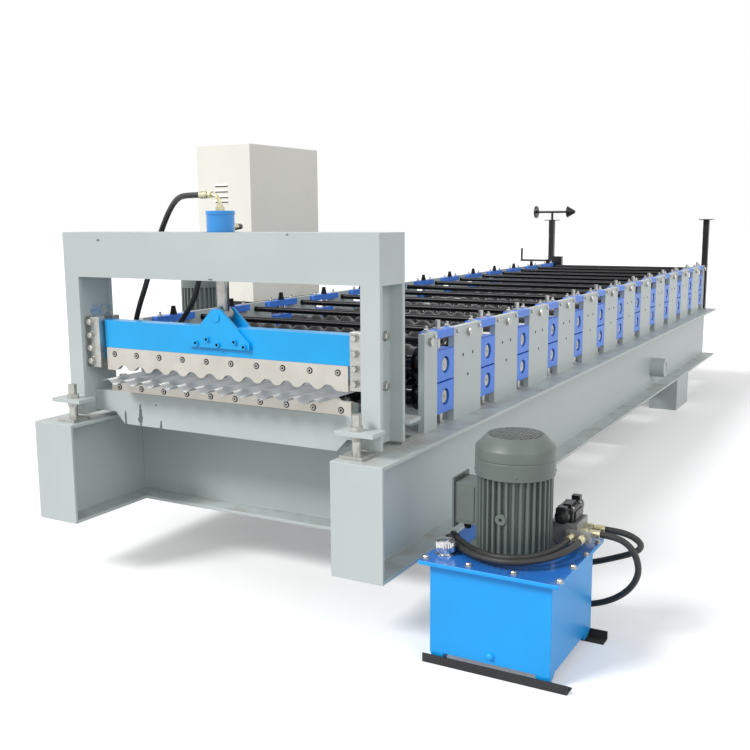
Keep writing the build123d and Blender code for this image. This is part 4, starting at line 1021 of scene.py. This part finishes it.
def make_chain():
    """The closed chain round the lower sprockets, with an even count of links."""
    x, reach, link_pitch, steps = -653, 73.5, 25.4, 32
    points = []
    for index, start in ((0, pi / 2), (STATIONS - 1, -pi / 2)):
        for k in range(steps + 1):
            turn = start + pi * k / steps
            y, z = station_y(index) + reach * cos(turn), LOWER_AXIS + reach * sin(turn)
            points.append(Vector((x, y, z)) / 1000)
    mesh = bpy.data.meshes.new("chain_path")
    mesh.from_pydata(points, [(k, (k + 1) % len(points)) for k in range(len(points))], [])
    length = 2 * PITCH * (STATIONS - 1) + 2 * pi * reach
    grown(chain_tree(BLACK_STEEL), "roller_chain", mesh, {"Link Count": 2 * round(length / link_pitch / 2)},
          instead="drive_chain")


make_chain()


# Screws on the shear
def blade_screws(blade, y, z, body):
    """Socket screws sunk in counterbores along a blade; each counterbore is a thin dark disc of painted shade.
    """
    first_x, screw_pitch, count = -455, 101, 10
    places = [Vector((first_x + screw_pitch * k, y, z)) for k in range(count)]
    shape = bmesh.new()
    # Painted shade: near-black discs on the blade's face in place of the counterbores
    for place in places:
        turned(shape, place, TO_EXIT, [(0, 10.5), (0.5, 10.5)], 24)
    piece_from(shape, blade + "_bore_shade", BLACK_AND_SHADE, "zinc_steel", body=body)
    socket_heads(blade + "_screws", places, TO_EXIT, 7, 2.2, body=body)


blade_screws("upper_blade", BLADE_FACE, 781, "ram")
blade_screws("lower_blade", LOWER_BLADE_FACE, 662, "frame")
bracket = ((-84, 643), (-39, 657), (4, 641), (73, 654), (110, 640))
socket_heads("bracket_screws", [behind(x, 40, z) for x, z in bracket], TO_EXIT, 9, 7, material=BRIGHT,
             slot="bright_blue", body="ram")
hex_heads("guide_screws", [behind(x, 29.6, z) for x in (-546, 524) for z in (692, 645, 600, 555)], TO_EXIT,
          24, 10, 15)
hex_heads("leg_screws", [behind(side * 581, 112, z) for side in SIDES for z in (693, 540)],
          [TO_LEFT, TO_LEFT, TO_RIGHT, TO_RIGHT], 26, 10, 16)


# Screws on the side plates, caps and lid
def by_station(x, reach, z):
    """Places before and after each station, on the left side and then on the right."""
    return [Vector((side * x, station_y(index) + turn * reach, z))
            for side in SIDES for index in range(STATIONS) for turn in SIDES]


hex_heads("cap_side_screws", by_station(PLATE_FACE, 90, 860),
          [TO_LEFT] * (2 * STATIONS) + [TO_RIGHT] * (2 * STATIONS), 14, 6)
cap_tops = by_station(571, 82, 874)
hex_heads("cap_top_screws", cap_tops, UP, 18, 7, 12)
shape = bmesh.new()
for place in cap_tops:
    turned(shape, place, UP, [(0, 4.8), (17, 4.8), (18, 4)], 12)
piece_from(shape, "cap_studs", ZINC, "zinc_steel")


def make_plate_hole_shade():
    """Small holes in the plates between the stations, as thin dark discs of painted shade."""
    shape = bmesh.new()
    # Painted shade: each hole is a near-black disc 0.3 mm proud of the plate
    for side in SIDES:
        for index in range(STATIONS - 1):
            middle = Vector((side * PLATE_FACE, station_y(index) + PITCH / 2, 0))
            for y, z in ((-43, 770), (42, 770), (0, 696)):
                turned(shape, middle + Vector((0, y, z)), TO_RIGHT * side, [(0, 6), (0.3, 6)], 16)
    piece_from(shape, "plate_hole_shade", BLACK_AND_SHADE, "frame_paint")


def make_louvres():
    """Pressed louvres on the cabinet's exit side, each with a thin dark box of painted shade for its slot."""
    width = 80
    hood = ((0.5, 5), (-6, -3), (0.5, -3))
    hoods = bmesh.new()
    slots = bmesh.new()
    for z in (1207, 1180, 1152, 1130):
        start = behind(-1105, 1457, z)
        prism(hoods, [start + Vector((0, y, z)) for y, z in hood], TO_RIGHT * width)
        # Painted shade: a near-black box under the hood stands for the slot
        box(slots, (2, -0.6, -8), (width - 2, 0.5, -3), start)
    piece_from(hoods, "cabinet_louvres", CREAM, "cabinet_cream")
    piece_from(slots, "louvre_slot_shade", BLACK_AND_SHADE, "stand_black")


make_plate_hole_shade()
make_louvres()
lid = [(826, -105), (955, -105), (1085, -105), (1212, -105), (1212, 14), (1212, 128), (1212, 245), (812, 122),
       (812, 211), (955, 275), (1085, 275)]
hex_heads("lid_screws", [Vector((x, GANTRY_Y + y, LID_TOP)) for x, y in lid], UP, 16, 7, 11)
plug = bmesh.new()
turned(plug, Vector((PACK_X + 6, TANK_FRONT, 57)), TO_EXIT, [(0, 11.5), (4, 11.5), (9, 8.5), (11.5, 3)], 28)
piece_from(plug, "drain_plug", TANK, "bright_blue")


# Studio: pale floor, white surroundings, soft light
def white(value):
    """A grey between 0 and 1."""
    return (value, value, value, 1)


def lay_floor():
    """A pale floor that looks whiter to the camera and in reflections than to diffuse light."""
    mesh = bpy.data.meshes.new("floor")
    mesh.from_pydata([(-40, -40, 0), (40, -40, 0), (40, 60, 0), (-40, 60, 0)], [], [(0, 1, 2, 3)])
    floor = bpy.data.objects.new("floor", mesh)
    bpy.context.scene.collection.objects.link(floor)
    material = bpy.data.materials.new("floor_white")
    material.use_nodes = True
    tree = material.node_tree
    shader = tree.nodes["Principled BSDF"]
    shader.inputs["Roughness"].default_value = 0.9
    shader.inputs["Specular IOR Level"].default_value = 0.0
    path = joined(tree, "ShaderNodeLightPath").outputs
    seen = maths(tree, "MAXIMUM", path["Is Camera Ray"], path["Is Glossy Ray"])
    tree.links.new(blended(tree, seen, white(0.5), white(0.93)), shader.inputs["Base Color"])
    glow = made(tree, "ShaderNodeEmission", {"Color": white(1), "Strength": 0.22})
    nothing = made(tree, "ShaderNodeEmission", {"Strength": 0.0})
    choice = made(tree, "ShaderNodeMixShader", {"Fac": seen, 1: nothing, 2: glow})
    total = made(tree, "ShaderNodeAddShader", {0: shader.outputs[0], 1: choice})
    tree.links.new(total, tree.nodes["Material Output"].inputs["Surface"])
    mesh.materials.append(material)


def light_world():
    """White surroundings where they are seen, and dimmer ones as light."""
    world = bpy.data.worlds.new("studio")
    bpy.context.scene.world = world
    world.use_nodes = True
    tree = world.node_tree
    path = joined(tree, "ShaderNodeLightPath").outputs
    mirrored = maths(tree, "MAXIMUM", path["Is Glossy Ray"], path["Is Transmission Ray"])
    seen = maths(tree, "MAXIMUM", path["Is Camera Ray"], mirrored)
    strength = blended(tree, seen, 0.54, 1.0, "FLOAT")
    tree.links.new(strength, tree.nodes["Background"].inputs["Strength"])
    tree.nodes["Background"].inputs["Color"].default_value = white(1)


def hang_lamp(name, towards, strength, angle):
    """A soft sun that shines one way."""
    lamp = bpy.data.lights.new(name, "SUN")
    lamp.energy = strength
    lamp.angle = radians(angle)
    holder = bpy.data.objects.new(name, lamp)
    holder.rotation_euler = Vector(towards).to_track_quat("-Z", "Y").to_euler()
    bpy.context.scene.collection.objects.link(holder)


bpy.context.scene.view_settings.view_transform = "Standard"
lay_floor()
light_world()
hang_lamp("key", (0.42, 0.62, -0.66), 2.15, 18)
hang_lamp("fill", (-0.8, 0.35, -0.5), 0.6, 40)
